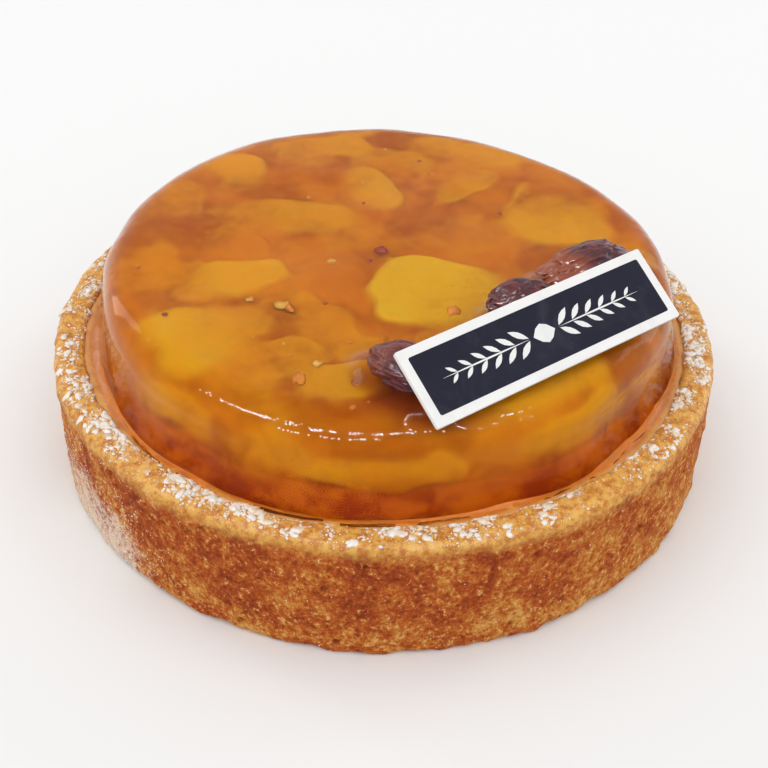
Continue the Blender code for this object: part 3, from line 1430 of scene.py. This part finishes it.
SHOWN_SCRAPS = (
    Scrap(-0.4, 0.6, 0.65, Tint.CHERRY, 0.6),
    Scrap(-1.9, -1.7, 0.35, Tint.CHERRY),
    Scrap(7.7, -11.6, 0.80, Tint.ORANGE),
    Scrap(14.1, 10.3, 0.30, Tint.CHERRY, 0.4),
    Scrap(-24.4, -14.5, 0.28, Tint.CHERRY, 0.4),
    Scrap(-7.0, -22.5, 0.50, Tint.PALE, 0.7),
    Scrap(-8.7, -25.2, 0.90, Tint.ORANGE, 0.8),
    Scrap(-2.9, -25.5, 0.45, Tint.BROWN, 0.8),
    Scrap(-6.6, -1.4, 0.50, Tint.PALE, 1.2),
    Scrap(-15.3, -10.2, 0.40, Tint.PALE, 1.2),
    Scrap(-11.6, -11.2, 0.80, Tint.PALE, 1.2),
    Scrap(-10.6, -12.1, 0.55, Tint.ORANGE, 1.0),
    Scrap(4.1, 23.5, 0.30, Tint.CHERRY, 0.4),
)


@dataclass
class JellyDisc:
    """The jelly disc with the cooked apple pieces inside it."""

    form: DiscForm
    columns: int = 640
    skin: float = 0.25 * MM
    heart_columns: int = 560
    hidden_apples: int = 60
    wall_apples: int = 16
    strewn_scraps: int = 70
    inset_side: float = 0.6 * MM
    inset_top: float = 1.35 * MM
    relief: float = 0.8 * MM
    warp: float = 1.3 * MM
    slow: Relief = Relief(9.0 * MM, 0.16 * MM, 81, 2)
    dimples: Relief = Relief(0.95 * MM, 0.030 * MM, 87)
    foot_bulge: Relief = Relief(3.0 * MM, 0.40 * MM, 89)
    heart_lumps: Relief = Relief(7.0 * MM, 0.35 * MM, 101, 2)
    scrap_shape: tuple[float, float, float] = (1.15, 0.90, 0.32)
    scrap_roughness: float = 0.8
    scrap_turn: float = 2.4
    apple_seed: int = 5
    scrap_seed: int = 29
    glint_seed: int = 37
    glint_crowding: float = 0.66
    glint_rows: tuple[tuple[float, float, float], ...] = (
        (-125.0, -104.0, 40.0), (-107.0, -79.0, 43.0), (-108.0, -90.0, 51.0), (-68.0, -60.0, 33.0))

    def build(self) -> None:
        """Build and dress the jelly and the apple pieces."""
        self._build_jelly()
        self._build_apples()
        self._build_scraps()
        self._build_glints()

    def _build_jelly(self) -> bpy.types.Object:
        """Build the clear jelly.

        Returns:
            The piece.
        """
        form = self.form
        profile = Profile.through((
            ("line", form.radius - 1.0 * MM, form.bottom, 4),
            ("line", form.radius + 0.50 * MM, form.bottom + 0.1 * MM, 3),
            ("line", form.radius + 0.28 * MM, form.bottom + 0.5 * MM, 4),
            ("line", form.radius + 0.02 * MM, form.bottom + 1.5 * MM, 5),
            ("line", form.flat + form.shoulder, form.top - form.shoulder, 16),
            ("arc", form.flat, form.top - form.shoulder, form.shoulder, 0.0, 90.0, 26),
            ("line", 2.0 * MM, form.top, 76),
        ))
        bearing, reach, height = profile.turned(self.columns)
        spots = form.bulged(form.place(bearing, reach, height))
        foot = ease(height, form.bottom + 1.3 * MM, form.bottom + 0.2 * MM)
        spots += upright(bearing, foot * self.foot_bulge.over(spots), np.zeros_like(height))
        spots[..., 2] += self._meniscus(spots) + self._ripples(spots)
        middle = np.zeros(1)
        points, faces = close_rings(spots, form.bottom, float(form.top_over(middle, middle)[0]))
        return add_piece("apple_jelly_disc", points, faces, JellyFinish().build(),
                         ["apple_disc"])

    def _meniscus(self, spots: np.ndarray) -> np.ndarray:
        """Work out how far the glaze climbs up round the dried fruits.

        Args:
            spots: Points of the jelly's skin.

        Returns:
            The rise of each point.
        """
        climb = np.zeros(spots.shape[:-1])
        for fruit in FRUITS:
            along, across = fruit.local(spots[..., 0], spots[..., 1])
            away = np.hypot(along, across)
            away = away + 0.12 * smooth_noise(spots, 2.0 * MM, 85)
            climb = np.maximum(climb, ease(away, 1.85, 0.75) * fruit.glazed)
        return climb * ease(spots[..., 2], self.form.top - 2.0 * MM, self.form.top - 1.0 * MM)

    def _ripples(self, spots: np.ndarray) -> np.ndarray:
        """Work out the unevenness of the set jelly: slow waves, and dimples on its shoulder.

        Args:
            spots: Points of the jelly's skin.

        Returns:
            The rise of each point.
        """
        bottom, top = self.form.bottom, self.form.top
        above = ease(spots[..., 2], bottom, bottom + 4.0 * MM)
        reach = np.hypot(spots[..., 0], spots[..., 1])
        shoulder = (ease(reach, 30.5 * MM, 32.0 * MM)
                    * ease(spots[..., 2], top - 3.4 * MM, top - 2.4 * MM))
        return above * self.slow.over(spots) + self.dimples.over(spots) * shoulder

    def _apples(self) -> Iterator[CookedPiece]:
        """List the apple pieces, from the lowest up.

        Yields:
            One piece after another.
        """
        chance = np.random.default_rng(self.apple_seed)
        for _ in range(self.hidden_apples):
            reach = self.form.flat / MM * math.sqrt(chance.uniform(0.0, 1.0))
            bearing = chance.uniform(0.0, math.tau)
            yield CookedPiece(reach * math.cos(bearing), reach * math.sin(bearing),
                              chance.uniform(6.0, 13.0), chance.uniform(5.0, 9.0),
                              chance.uniform(0.0, 180.0), chance.uniform(0.0, 0.55),
                              chance.uniform(0.2, 1.0), softness=chance.uniform(0.25, 0.6),
                              dip=chance.uniform(0.0, 360.0))
        for step in range(self.wall_apples):
            bearing = 360.0 * (step + chance.uniform(0.1, 0.9)) / self.wall_apples
            yield CookedPiece(bearing, chance.uniform(18.5, 22.0), chance.uniform(6.0, 14.0),
                              chance.uniform(3.5, 6.0), chance.uniform(-30.0, 30.0),
                              chance.uniform(0.1, 0.8), chance.uniform(0.4, 1.0),
                              Side.WALL, chance.uniform(0.4, 0.7))
        yield from SHOWN_PIECES

    def _keep_inside(self, spots: np.ndarray) -> np.ndarray:
        """Hold points a little inside the jelly's skin.

        Args:
            spots: The points.

        Returns:
            The points, moved in where they were outside.
        """
        bearing = np.arctan2(spots[:, 1], spots[:, 0])
        reach = np.hypot(spots[:, 0], spots[:, 1])
        lean = self.form.draft * ease(spots[:, 2], self.form.bottom, self.form.top - self.form.shoulder)
        most = self.form.lobed(bearing, self.form.radius - lean) - self.skin
        share = np.minimum(1.0, most / np.maximum(reach, TINY))
        x = spots[:, 0] * share
        y = spots[:, 1] * share
        z = np.minimum(spots[:, 2], self.form.top_over(x, y) - self.skin)
        return np.stack([x, y, np.maximum(z, self.form.bottom + 0.3 * MM)], axis=-1)

    def _build_apples(self) -> bpy.types.Object:
        """Build the heart of apple pieces and caramel that shows through the jelly.

        Returns:
            The piece.
        """
        side = self.form.radius - self.form.draft - self.inset_side
        top = self.form.top - self.inset_top
        bend = self.form.shoulder - 1.9 * MM
        profile = Profile.through((
            ("line", side + 2.0 * MM, self.form.bottom + 0.2 * MM, 3),
            ("line", side + 1.3 * MM, self.form.bottom + 1.2 * MM, 5),
            ("line", side + 0.2 * MM, self.form.bottom + 3.4 * MM, 10),
            ("line", side, top - bend, 18),
            ("arc", side - bend, top - bend, bend, 0.0, 90.0, 22),
            ("line", 1.0 * MM, top, 96),
        ))
        bearing, reach, height = profile.turned(self.heart_columns)
        spots = self.form.place(bearing, reach, height)
        shifts = [fractal_noise(spots, 5.0 * MM, seed, 2) for seed in (161, 171, 181)]
        warped = spots + np.stack(shifts, axis=-1) * self.warp
        level = np.zeros(spots.shape[:-1])
        ripeness = np.full(spots.shape[:-1], 0.6)
        for apple in self._apples():
            cover, sunk = apple.cover(warped, side)
            level += (sunk - level) * cover
            ripeness += (apple.ripeness - ripeness) * cover
        normal_reach, normal_height = profile.normals()
        normals = upright(bearing, normal_reach[:, None],
                          np.broadcast_to(normal_height[:, None], bearing.shape))
        on_wall = ease(np.hypot(spots[..., 0], spots[..., 1]), side - 3.0 * MM, side - 1.0 * MM)
        rise = self.heart_lumps.over(spots) + level * self.relief * (1.0 - 0.7 * on_wall)
        spots = spots + normals * rise[..., None]
        spots = self.form.bulged(self._keep_inside(spots.reshape(-1, 3)).reshape(spots.shape))
        points, faces = close_rings(spots, self.form.bottom, top)
        piece = add_piece("cooked_apple_heart", points, faces, CookedFruitFinish().build())
        mark(piece, "level", np.append(level.ravel(), (0.3, 0.3)))
        mark(piece, "ripeness", np.append(ripeness.ravel(), (0.6, 0.6)))
        # Painted shade round and under the dried fruits.
        mark(piece, "fruit_shade", self._fruit_shade(points))
        return piece

    def _scraps(self) -> Iterator[Scrap]:
        """List the scraps that are seen in front and the ones strewn all over.

        Yields:
            One scrap after another.
        """
        yield from SHOWN_SCRAPS
        chance = np.random.default_rng(self.scrap_seed)
        for _ in range(self.strewn_scraps):
            reach = (self.form.flat / MM + 1.0) * math.sqrt(chance.uniform(0.0, 1.0))
            bearing = chance.uniform(0.0, math.tau)
            tint = list(Tint)[chance.choice(4, p=(0.06, 0.20, 0.40, 0.34))]
            yield Scrap(reach * math.cos(bearing), reach * math.sin(bearing),
                        0.08 + 0.22 * chance.random() ** 2.5, tint, chance.uniform(0.7, 1.2))

    def _build_scraps(self) -> bpy.types.Object:
        """Build the small scraps under the jelly's surface.

        Returns:
            The piece.
        """
        unit, faces = ball(2)
        copies = []
        shades = []
        for number, scrap in enumerate(self._scraps()):
            rough = 1.0 + self.scrap_roughness * smooth_noise(unit + number * 5.1, 0.7, 201)
            turn = np.array(Matrix.Rotation(self.scrap_turn * number, 3, "Z"))
            shaped = unit * rough[:, None] * np.array(self.scrap_shape) @ turn * scrap.size * MM
            middle = np.array([scrap.x, scrap.y, 0.0]) * MM
            middle[2] = self.form.top_over(middle[0:1], middle[1:2])[0] - scrap.depth * MM
            copies.append(shaped + middle)
            shades.append(scrap.tint.value)
        points, joined = join_copies(unit, faces, np.array(copies))
        piece = add_piece("fruit_scraps", points, joined, ScrapFinish().build())
        mark(piece, "shade", np.repeat(shades, len(unit)))
        return piece

    def _build_glints(self) -> bpy.types.Object:
        """Build rows of tiny white beads, painted highlights that stand for glints on the front
        shoulder.

        Returns:
            The piece.
        """
        form = self.form
        chance = np.random.default_rng(self.glint_seed)
        bearings = []
        tilts = []
        for start, end, lean in self.glint_rows:
            place = start
            while place < end:
                bearings.append(place)
                tilts.append(lean + chance.normal(0.0, 0.7))
                near = chance.random() < self.glint_crowding
                place += chance.uniform(0.35, 0.9) if near else chance.uniform(1.4, 3.2)
        bearing = np.radians(np.array(bearings))
        tilt = np.radians(np.array(tilts))
        reach = form.flat + form.shoulder * np.sin(tilt)
        height = form.top - form.shoulder + form.shoulder * np.cos(tilt)
        spots = form.bulged(form.place(bearing, reach, height))
        spots[:, 2] += self._ripples(spots)
        unit, faces = ball(2)
        copies = []
        for spot, angle in zip(spots, bearing):
            size = chance.uniform(0.05, 0.13) * MM
            turn = Matrix.Rotation(float(angle) + math.pi / 2.0, 3, "Z")
            stretch = np.array([chance.uniform(1.0, 1.8), 1.0, 0.8])
            copies.append(unit * stretch @ np.array(turn.transposed()) * size + spot)
        points, joined = join_copies(unit, faces, np.array(copies))
        # The beads are painted highlights in the places where glints of the lamps fall.
        return add_piece("painted_glint_beads", points, joined, GlintFinish().build())

    @staticmethod
    def _fruit_shade(spots: np.ndarray) -> np.ndarray:
        """Work out the painted shade that darkens the apple pieces round and under the dried fruits.

        Args:
            spots: Points of the pieces.

        Returns:
            The painted shade on each point, from 0 to 1.
        """
        dark = np.zeros(len(spots))
        for fruit in FRUITS:
            along, across = fruit.local(spots[:, 0], spots[:, 1])
            away = np.hypot(along, across) + 0.35 * smooth_noise(spots, 2.5 * MM, 191)
            dark = np.maximum(dark, ease(away, 1.7, 0.8))
        return dark


@dataclass
class Card:
    """The glossy black card with a white border that leans on the dried fruits."""

    length: float = 34.3 * MM
    width: float = 8.9 * MM
    thick: float = 0.5 * MM
    corner: float = 0.25 * MM
    bearing: float = 37.6
    tilt: float = 33.0
    front_x: float = 19.0 * MM
    front_y: float = -23.6 * MM
    border: float = 1.05 * MM

    def pose(self) -> Matrix:
        """Find the card's place.

        Returns:
            Its frame: X along its front edge, Y up its slope and Z out of its face.
        """
        low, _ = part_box("plaque")
        turn = Matrix.Rotation(math.radians(self.bearing), 4, "Z")
        tilt = Matrix.Rotation(math.radians(self.tilt), 4, "X")
        return Matrix.Translation((self.front_x, self.front_y, low[2])) @ turn @ tilt

    def underside(self, x: np.ndarray, y: np.ndarray) -> np.ndarray:
        """Find the height of the plane of the card's underside.

        Args:
            x: X of the places.
            y: Y of the places.

        Returns:
            The height over each place.
        """
        pose = self.pose()
        normal = pose.to_3x3() @ Vector((0.0, 0.0, 1.0))
        origin = pose.translation
        return origin.z - ((x - origin.x) * normal.x + (y - origin.y) * normal.y) / normal.z

    def build(self) -> None:
        """Build the board, the black field and the ornament."""
        board = PrintFinish(Print.BOARD, (0.87, 0.87, 0.86), (0.80, 0.80, 0.80), 0.35, 0.3).build()
        field = PrintFinish(Print.FIELD, paint(30, 31, 48), paint(46, 48, 62), 0.30, 0.15).build()
        ink = PrintFinish(Print.ORNAMENT, (0.85, 0.85, 0.84), (0.75, 0.75, 0.76), 0.35, 0.3).build()
        layers = (
            (Print.BOARD, 0.0, 0.0, self.thick, board, ["plaque"]),
            (Print.FIELD, self.border, self.thick - 0.02 * MM, self.thick + 0.03 * MM, field, []),
        )
        for layer, inset, low, high, material, nodes in layers:
            outline = self._rounded(self.length * 0.5 - inset, self.width * 0.5 - inset)
            points, faces = self._slab(outline, low, high)
            self._add(layer, points, faces, material, nodes)
        points, faces = self._ornament(self.thick + 0.02 * MM, self.thick + 0.06 * MM)
        self._add(Print.ORNAMENT, points, faces, ink, [])

    def _rounded(self, half_length: float, half_width: float) -> np.ndarray:
        """Draw a rectangle with small round corners.

        Args:
            half_length: Half its length.
            half_width: Half its width.

        Returns:
            Points round it.
        """
        outline = []
        for quarter, (side, end) in enumerate(((1, 1), (-1, 1), (-1, -1), (1, -1))):
            for step in range(5):
                angle = math.radians(90.0 * quarter + 90.0 * step / 4.0)
                outline.append((side * (half_length - self.corner) + self.corner * math.cos(angle),
                                end * (half_width - self.corner) + self.corner * math.sin(angle)))
        return np.array(outline)

    @staticmethod
    def _slab(outline: np.ndarray, low: float, high: float) -> tuple[np.ndarray, list]:
        """Raise an outline into a slab with a softened upper edge.

        Args:
            outline: Points round the slab.
            low: Height of its underside.
            high: Height of its upper face.

        Returns:
            Points and faces.
        """
        count = len(outline)
        soft = min(0.04 * MM, (high - low) * 0.4)
        middle = outline.mean(axis=0)
        shrunk = outline - np.sign(outline - middle) * soft
        levels = ((shrunk, low), (outline, low + soft), (outline, high - soft), (shrunk, high))
        points = np.vstack([np.column_stack([ring, np.full(count, height)]) for ring, height in levels])
        faces = [list(range(count))[::-1], [3 * count + corner for corner in range(count)]]
        for level in range(3):
            for corner in range(count):
                after = (corner + 1) % count
                faces.append([level * count + corner, level * count + after,
                              (level + 1) * count + after, (level + 1) * count + corner])
        return points, faces

    def _ornament(self, low: float, high: float) -> tuple[np.ndarray, list]:
        """Make a plain ornament: a lozenge between two leafy sprigs.

        Args:
            low: Height of its underside.
            high: Height of its upper face.

        Returns:
            Points and faces.
        """
        shapes = [(0.0, 0.0, 1.5, 1.15, 0.0)]
        for side in (-1.0, 1.0):
            shapes.append((side * 7.9, 0.0, 5.8, 0.11, 0.0))
            for step in range(6):
                for lean in (-1.0, 1.0):
                    size = 1.25 - 0.11 * step
                    shapes.append((side * (3.1 + 1.85 * step), lean * 0.72 * size, size, 0.30 * size,
                                   side * lean * 38.0))
        points = []
        faces = []
        for number, (x, y, half_length, half_width, turn) in enumerate(shapes):
            outline = self._leaf(half_length, half_width)
            angle = math.radians(turn)
            along = x + outline[:, 0] * math.cos(angle) - outline[:, 1] * math.sin(angle)
            across = y + outline[:, 0] * math.sin(angle) + outline[:, 1] * math.cos(angle)
            slab_points, slab_faces = self._slab(np.stack([along, across], axis=-1) * MM, low, high)
            points.append(slab_points)
            faces += [[corner + number * len(slab_points) for corner in face] for face in slab_faces]
        return np.vstack(points), faces

    @staticmethod
    def _leaf(half_length: float, half_width: float) -> np.ndarray:
        """Draw a pointed leaf.

        Args:
            half_length: Half its length.
            half_width: Half its width.

        Returns:
            Points round it.
        """
        steps = np.linspace(0.0, 1.0, 5)
        upper = np.stack([half_length * (1.0 - 2.0 * steps),
                          half_width * np.sin(math.pi * steps)], axis=-1)
        lower = np.stack([-upper[1:-1, 0], -upper[1:-1, 1]], axis=-1)
        return np.vstack([upper, lower])

    def _add(self, layer: Print, points: np.ndarray, faces: list,
             material: bpy.types.Material, nodes: list[str]) -> None:
        """Add one layer of the card at its place.

        Args:
            layer: Which layer.
            points: Its points in the card's own frame.
            faces: Its faces.
            material: Its material.
            nodes: The CAD nodes that it stands for.
        """
        moved = points + np.array([0.0, self.width * 0.5, 0.0])
        pose = np.array(self.pose())
        world = moved @ pose[:3, :3].T + pose[:3, 3]
        piece = add_piece(layer.value, world, faces, material, nodes)
        piece.data.shade_flat()


@dataclass
class DriedFruits:
    """The four wrinkled, glazed dried fruits."""

    disc: DiscForm
    card: Card
    rows: int = 90
    columns: int = 150
    fold_depth: float = 0.22
    sunk: float = 0.1 * MM
    card_gap: float = 0.05 * MM

    def build(self) -> None:
        """Build and dress each fruit."""
        skin = DriedFruitFinish().build()
        for fruit in FRUITS:
            self._build_one(fruit, skin)

    def _build_one(self, fruit: FruitForm, skin: bpy.types.Material) -> bpy.types.Object:
        """Build one fruit.

        Args:
            fruit: Its place and size.
            skin: Its material.

        Returns:
            The piece.
        """
        rise = (np.arange(self.rows) + 0.5) / self.rows * math.pi - math.pi / 2.0
        turn = np.arange(self.columns) * math.tau / self.columns
        grid_turn, grid_rise = np.meshgrid(turn, rise)
        unit = np.stack([np.sin(grid_rise), np.cos(grid_rise) * np.sin(grid_turn),
                         -np.cos(grid_rise) * np.cos(grid_turn)], axis=-1).reshape(-1, 3)
        unit = np.vstack([unit, [[-1.0, 0.0, 0.0], [1.0, 0.0, 0.0]]])
        stretched = unit * np.array([0.7, 1.0, 1.0])
        broad = np.abs(smooth_noise(stretched + fruit.seed, 0.75, 111))
        fine = np.abs(fractal_noise(stretched + fruit.seed * 3.0, 0.33, 121, 2))
        fold_and_shade = np.clip(1.0 - broad * 3.2, 0.0, 1.0) * 0.6 + np.clip(1.0 - fine * 4.0, 0.0, 1.0) * 0.4
        shaped = unit * (1.04 - self.fold_depth * fold_and_shade)[:, None]
        angle = math.radians(fruit.bearing)
        along = shaped[:, 0] * fruit.half_length
        across = shaped[:, 1] * fruit.half_width
        x = fruit.x + along * math.cos(angle) - across * math.sin(angle)
        y = fruit.y + along * math.sin(angle) + across * math.cos(angle)
        base = self.disc.top_over(np.array([fruit.x]), np.array([fruit.y]))[0]
        z = base + fruit.thick * 0.52 + shaped[:, 2] * fruit.thick * 0.5
        z = np.maximum(z, self.disc.top_over(x, y) - self.sunk)
        z = np.minimum(z, self.card.underside(x, y) - self.card_gap)
        points = np.stack([x, y, z], axis=-1)
        piece = add_piece(fruit.node + "_skin", points, ring_faces(self.rows, self.columns), skin,
                          [fruit.node])
        # The crease depth also paints shade into the folds.
        mark(piece, "fold_and_shade", np.clip(fold_and_shade, 0.0, 1.0))
        mark(piece, "glazed", ease(shaped[:, 0] + 0.3 * broad, 0.25, -0.35) * fruit.tan)
        return piece


@dataclass(frozen=True)
class Scatter:
    """One size of sugar crumb, strewn over the crust."""

    name: str
    count: int
    smallest: float
    largest: float
    subdivisions: int
    flatness: float
    jagged: float
    seed: int

    def shapes(self, spots: np.ndarray, normals: np.ndarray) -> tuple[np.ndarray, list]:
        """Make the crumbs.

        Args:
            spots: Where they lie.
            normals: Which way is out of the crust there.

        Returns:
            All the points and all the faces.
        """
        chance = np.random.default_rng(self.seed)
        unit, faces = ball(self.subdivisions)
        number = np.arange(len(spots))
        size = self.smallest + (self.largest - self.smallest) * chance.random(len(spots)) ** 2.5
        rough = smooth_noise(unit[None] + number[:, None, None] * 3.1, 0.7, self.seed)
        stretch = 1.0 + 0.8 * chance.random((len(spots), 1))
        turn = chance.uniform(0.0, math.tau, len(spots))
        helper = np.stack([np.cos(turn), np.sin(turn), np.full(len(spots), 0.3)], axis=-1)
        first = np.cross(normals, helper)
        first /= np.linalg.norm(first, axis=-1, keepdims=True)
        second = np.cross(normals, first)
        local = unit[None] * (1.0 + self.jagged * rough)[..., None] * size[:, None, None]
        copies = (local[..., 0:1] * (first * stretch)[:, None] + local[..., 1:2] * second[:, None]
                  + local[..., 2:3] * (normals * self.flatness)[:, None] + spots[:, None])
        return join_copies(unit, faces, copies)


@dataclass
class Sugar:
    """Icing sugar: melted flakes and clumps on the rim and fine grains dusted on the wall."""

    crust: CrustForm
    flakes: Scatter = Scatter("icing_sugar_flakes", 820, 0.14 * MM, 0.46 * MM, 2, 0.50, 0.50, 17)
    clumps: Scatter = Scatter("icing_sugar_clumps", 2450, 0.07 * MM, 0.20 * MM, 1, 0.70, 0.60, 19)
    grains: Scatter = Scatter("icing_sugar_grains", 5600, 0.030 * MM, 0.085 * MM, 1, 0.90, 0.30, 23)
    drift: Relief = Relief(2.2 * MM, 1.0, 131, 3)
    patches: Relief = Relief(1.5 * MM, 1.0, 151, 2)
    rim_tries: int = 14
    wall_tries: int = 28
    lift: float = 0.02 * MM

    def build(self) -> None:
        """Build the flakes, the clumps and the grains."""
        finish = SugarFinish().build()
        self._build_rim(self.flakes, 0.42, finish)
        self._build_rim(self.clumps, 0.24, finish)
        self._build_grains(finish)

    def _rim_range(self) -> tuple[float, float]:
        """Find the rim on the crust's profile.

        Returns:
            Where it starts and ends, counted in the profile's points.
        """
        profile = self.crust.profile()
        top = np.nonzero(profile.height > self.crust.height - 0.40 * MM)[0]
        return float(top[0]), float(top[-1])

    def _build_rim(self, kind: Scatter, threshold: float,
                   finish: bpy.types.Material) -> bpy.types.Object:
        """Strew one kind of crumb along the rim, in drifts.

        Args:
            kind: Which crumbs.
            threshold: How bare the rim stays where it is lightly sugared.
            finish: The sugar's material.

        Returns:
            The piece.
        """
        chance = np.random.default_rng(kind.seed + 100)
        start, end = self._rim_range()
        tries = kind.count * self.rim_tries
        bearing = chance.uniform(-math.pi, math.pi, tries)
        inwards = 0.9 - 0.4 * self.crust.sugared(bearing)
        along = start + (end - start) * chance.uniform(0.0, 1.0, tries) ** inwards
        spots, normals, _ = self.crust.surface(bearing, along)
        drift = self.drift.over(spots) + chance.uniform(-0.12, 0.12, tries)
        chosen = drift > threshold - 0.52 * self.crust.sugared(bearing)
        return self._strew(kind, spots[chosen], normals[chosen], finish)

    def _build_grains(self, finish: bpy.types.Material) -> bpy.types.Object:
        """Dust fine grains over the wall and the rim.

        Args:
            finish: The sugar's material.

        Returns:
            The piece.
        """
        kind = self.grains
        chance = np.random.default_rng(kind.seed + 100)
        _, end = self._rim_range()
        tries = kind.count * self.wall_tries
        bearing = chance.uniform(-math.pi, math.pi, tries)
        along = chance.uniform(8.0, end, tries)
        spots, normals, _ = self.crust.surface(bearing, along)
        on_rim = ease(spots[:, 2], self.crust.height - 1.0 * MM, self.crust.height)
        share = 0.006 + 0.35 * self.crust.powder(spots) + 0.30 * on_rim * self.crust.sugared(bearing)
        share *= 0.25 + 0.75 * ease(self.patches.over(spots), -0.15, 0.35)
        chosen = chance.random(tries) < share
        return self._strew(kind, spots[chosen], normals[chosen], finish)

    def _strew(self, kind: Scatter, spots: np.ndarray, normals: np.ndarray,
               finish: bpy.types.Material) -> bpy.types.Object:
        """Lay one kind of crumb on the first of the chosen spots.

        Args:
            kind: Which crumbs.
            spots: The chosen spots of the crust.
            normals: Which way is out of the crust there.
            finish: The sugar's material.

        Returns:
            The piece.
        """
        outwards = normals[:kind.count]
        points, faces = kind.shapes(spots[:kind.count] + outwards * self.lift, outwards)
        return add_piece(kind.name, points, faces, finish)


@dataclass(frozen=True)
class Lamp:
    """A soft rectangular lamp that faces the tart."""

    name: str
    place: tuple[float, float, float]
    size: tuple[float, float]
    radiance: float

    def hang(self, aim: Sequence[float]) -> bpy.types.Object:
        """Hang the lamp.

        Args:
            aim: The point that it faces.

        Returns:
            The lamp.
        """
        data = bpy.data.lights.new(self.name, "AREA")
        data.shape = "RECTANGLE"
        data.size, data.size_y = self.size
        data.energy = self.radiance * math.pi * self.size[0] * self.size[1]
        lamp = bpy.data.objects.new(self.name, data)
        lamp.location = self.place
        lamp.rotation_euler = (Vector(aim) - Vector(self.place)).to_track_quat("-Z", "Y").to_euler()
        bpy.context.scene.collection.objects.link(lamp)
        return lamp


@dataclass
class Studio:
    """Pale paper, soft light and the camera."""

    floor_half: float = 4.0
    softbox: Lamp = Lamp("top_softbox", (-0.10, -0.28, 1.0), (2.0, 1.8), 0.66)
    window: Lamp = Lamp("left_window", (-0.57, 0.40, 0.24), (0.13, 0.44), 3.2)
    panel: Lamp = Lamp("right_panel", (0.58, 0.36, 0.20), (0.22, 0.36), 2.2)
    room_colour: Colour = (1.0, 0.99, 0.98)
    room_light: float = 0.72
    tube_azimuths: range = range(-165, -29, 11)
    tube_span: float = 135.0
    tube_distance: float = 0.7
    tube_elevation: float = 44.0
    tube_arch: float = 11.0
    tube_size: tuple[float, float] = (0.040, 0.050)
    tube_radiance: float = 110.0
    lens: float = 66.2
    distance: float = 180.0 * MM
    aim: tuple[float, float, float] = (0.09 * MM, 0.0, 5.9 * MM)
    elevation: float = 37.59
    roll: float = 1.36
    sensor: float = 36.0
    nearest: float = 0.01

    def build(self) -> None:
        """Build the floor, the lights and the camera."""
        scene = bpy.context.scene
        scene.view_settings.view_transform = "Standard"
        self._build_floor()
        self._build_world()
        self.softbox.hang(self.aim).visible_glossy = False
        self.window.hang(self.aim)
        self.panel.hang(self.aim)
        self._add_tubes()
        self._build_camera()

    def _build_floor(self) -> None:
        """Lay the paper that the tart stands on."""
        half = self.floor_half
        mesh = bpy.data.meshes.new("studio_floor")
        corners = [(-half, -half, 0.0), (half, -half, 0.0), (half, half, 0.0), (-half, half, 0.0)]
        mesh.from_pydata(corners, [], [(0, 1, 2, 3)])
        mesh.materials.append(FloorFinish().build())
        floor = bpy.data.objects.new("studio_floor", mesh)
        bpy.context.scene.collection.objects.link(floor)

    def _build_world(self) -> None:
        """Fill the room with even pale light."""
        world = bpy.data.worlds.new("studio_room")
        world.use_nodes = True
        background = world.node_tree.nodes["Background"]
        background.inputs["Color"].default_value = (*self.room_colour, 1.0)
        background.inputs["Strength"].default_value = self.room_light
        bpy.context.scene.world = world

    def _add_tubes(self) -> None:
        """Hang short bright tubes in an arc, which glint on the jelly's shoulder."""
        start = self.tube_azimuths.start
        for number, azimuth in enumerate(self.tube_azimuths):
            bearing = math.radians(azimuth)
            share = (azimuth - start) / self.tube_span
            rise = math.radians(self.tube_elevation + self.tube_arch * math.sin(math.pi * share))
            flat = self.tube_distance * math.cos(rise)
            place = (flat * math.cos(bearing), flat * math.sin(bearing),
                     self.tube_distance * math.sin(rise))
            lamp = Lamp(f"glint_tube_{number}", place, self.tube_size, self.tube_radiance)
            tube = lamp.hang(self.aim)
            tube.visible_diffuse = False
            tube.visible_transmission = False

    def _build_camera(self) -> None:
        """Stand the camera in front of the tart, looking down at it."""
        rise = math.radians(self.elevation)
        back = Vector((0.0, -math.cos(rise), math.sin(rise)))
        right = Vector((1.0, 0.0, 0.0))
        up = back.cross(right)
        turn = math.radians(self.roll)
        rolled_right = right * math.cos(turn) + up * math.sin(turn)
        rolled_up = up * math.cos(turn) - right * math.sin(turn)
        data = bpy.data.cameras.new("camera")
        data.lens = self.lens
        data.sensor_width = self.sensor
        data.clip_start = self.nearest
        camera = bpy.data.objects.new("camera", data)
        axes = Matrix((rolled_right, rolled_up, back)).transposed()
        place = Vector(self.aim) + back * self.distance
        camera.matrix_world = Matrix.Translation(place) @ axes.to_4x4()
        bpy.context.scene.collection.objects.link(camera)
        bpy.context.scene.camera = camera


def main() -> None:
    """Build the tart and its studio."""
    logging.basicConfig(level=logging.INFO, format="%(name)s: %(message)s")
    crust = CrustForm()
    disc = DiscForm()
    card = Card()
    Crust(crust).build()
    Cream(crust).build()
    JellyDisc(disc).build()
    DriedFruits(disc, card).build()
    card.build()
    Sugar(crust).build()
    Studio().build()


if __name__ == "__main__":
    main()
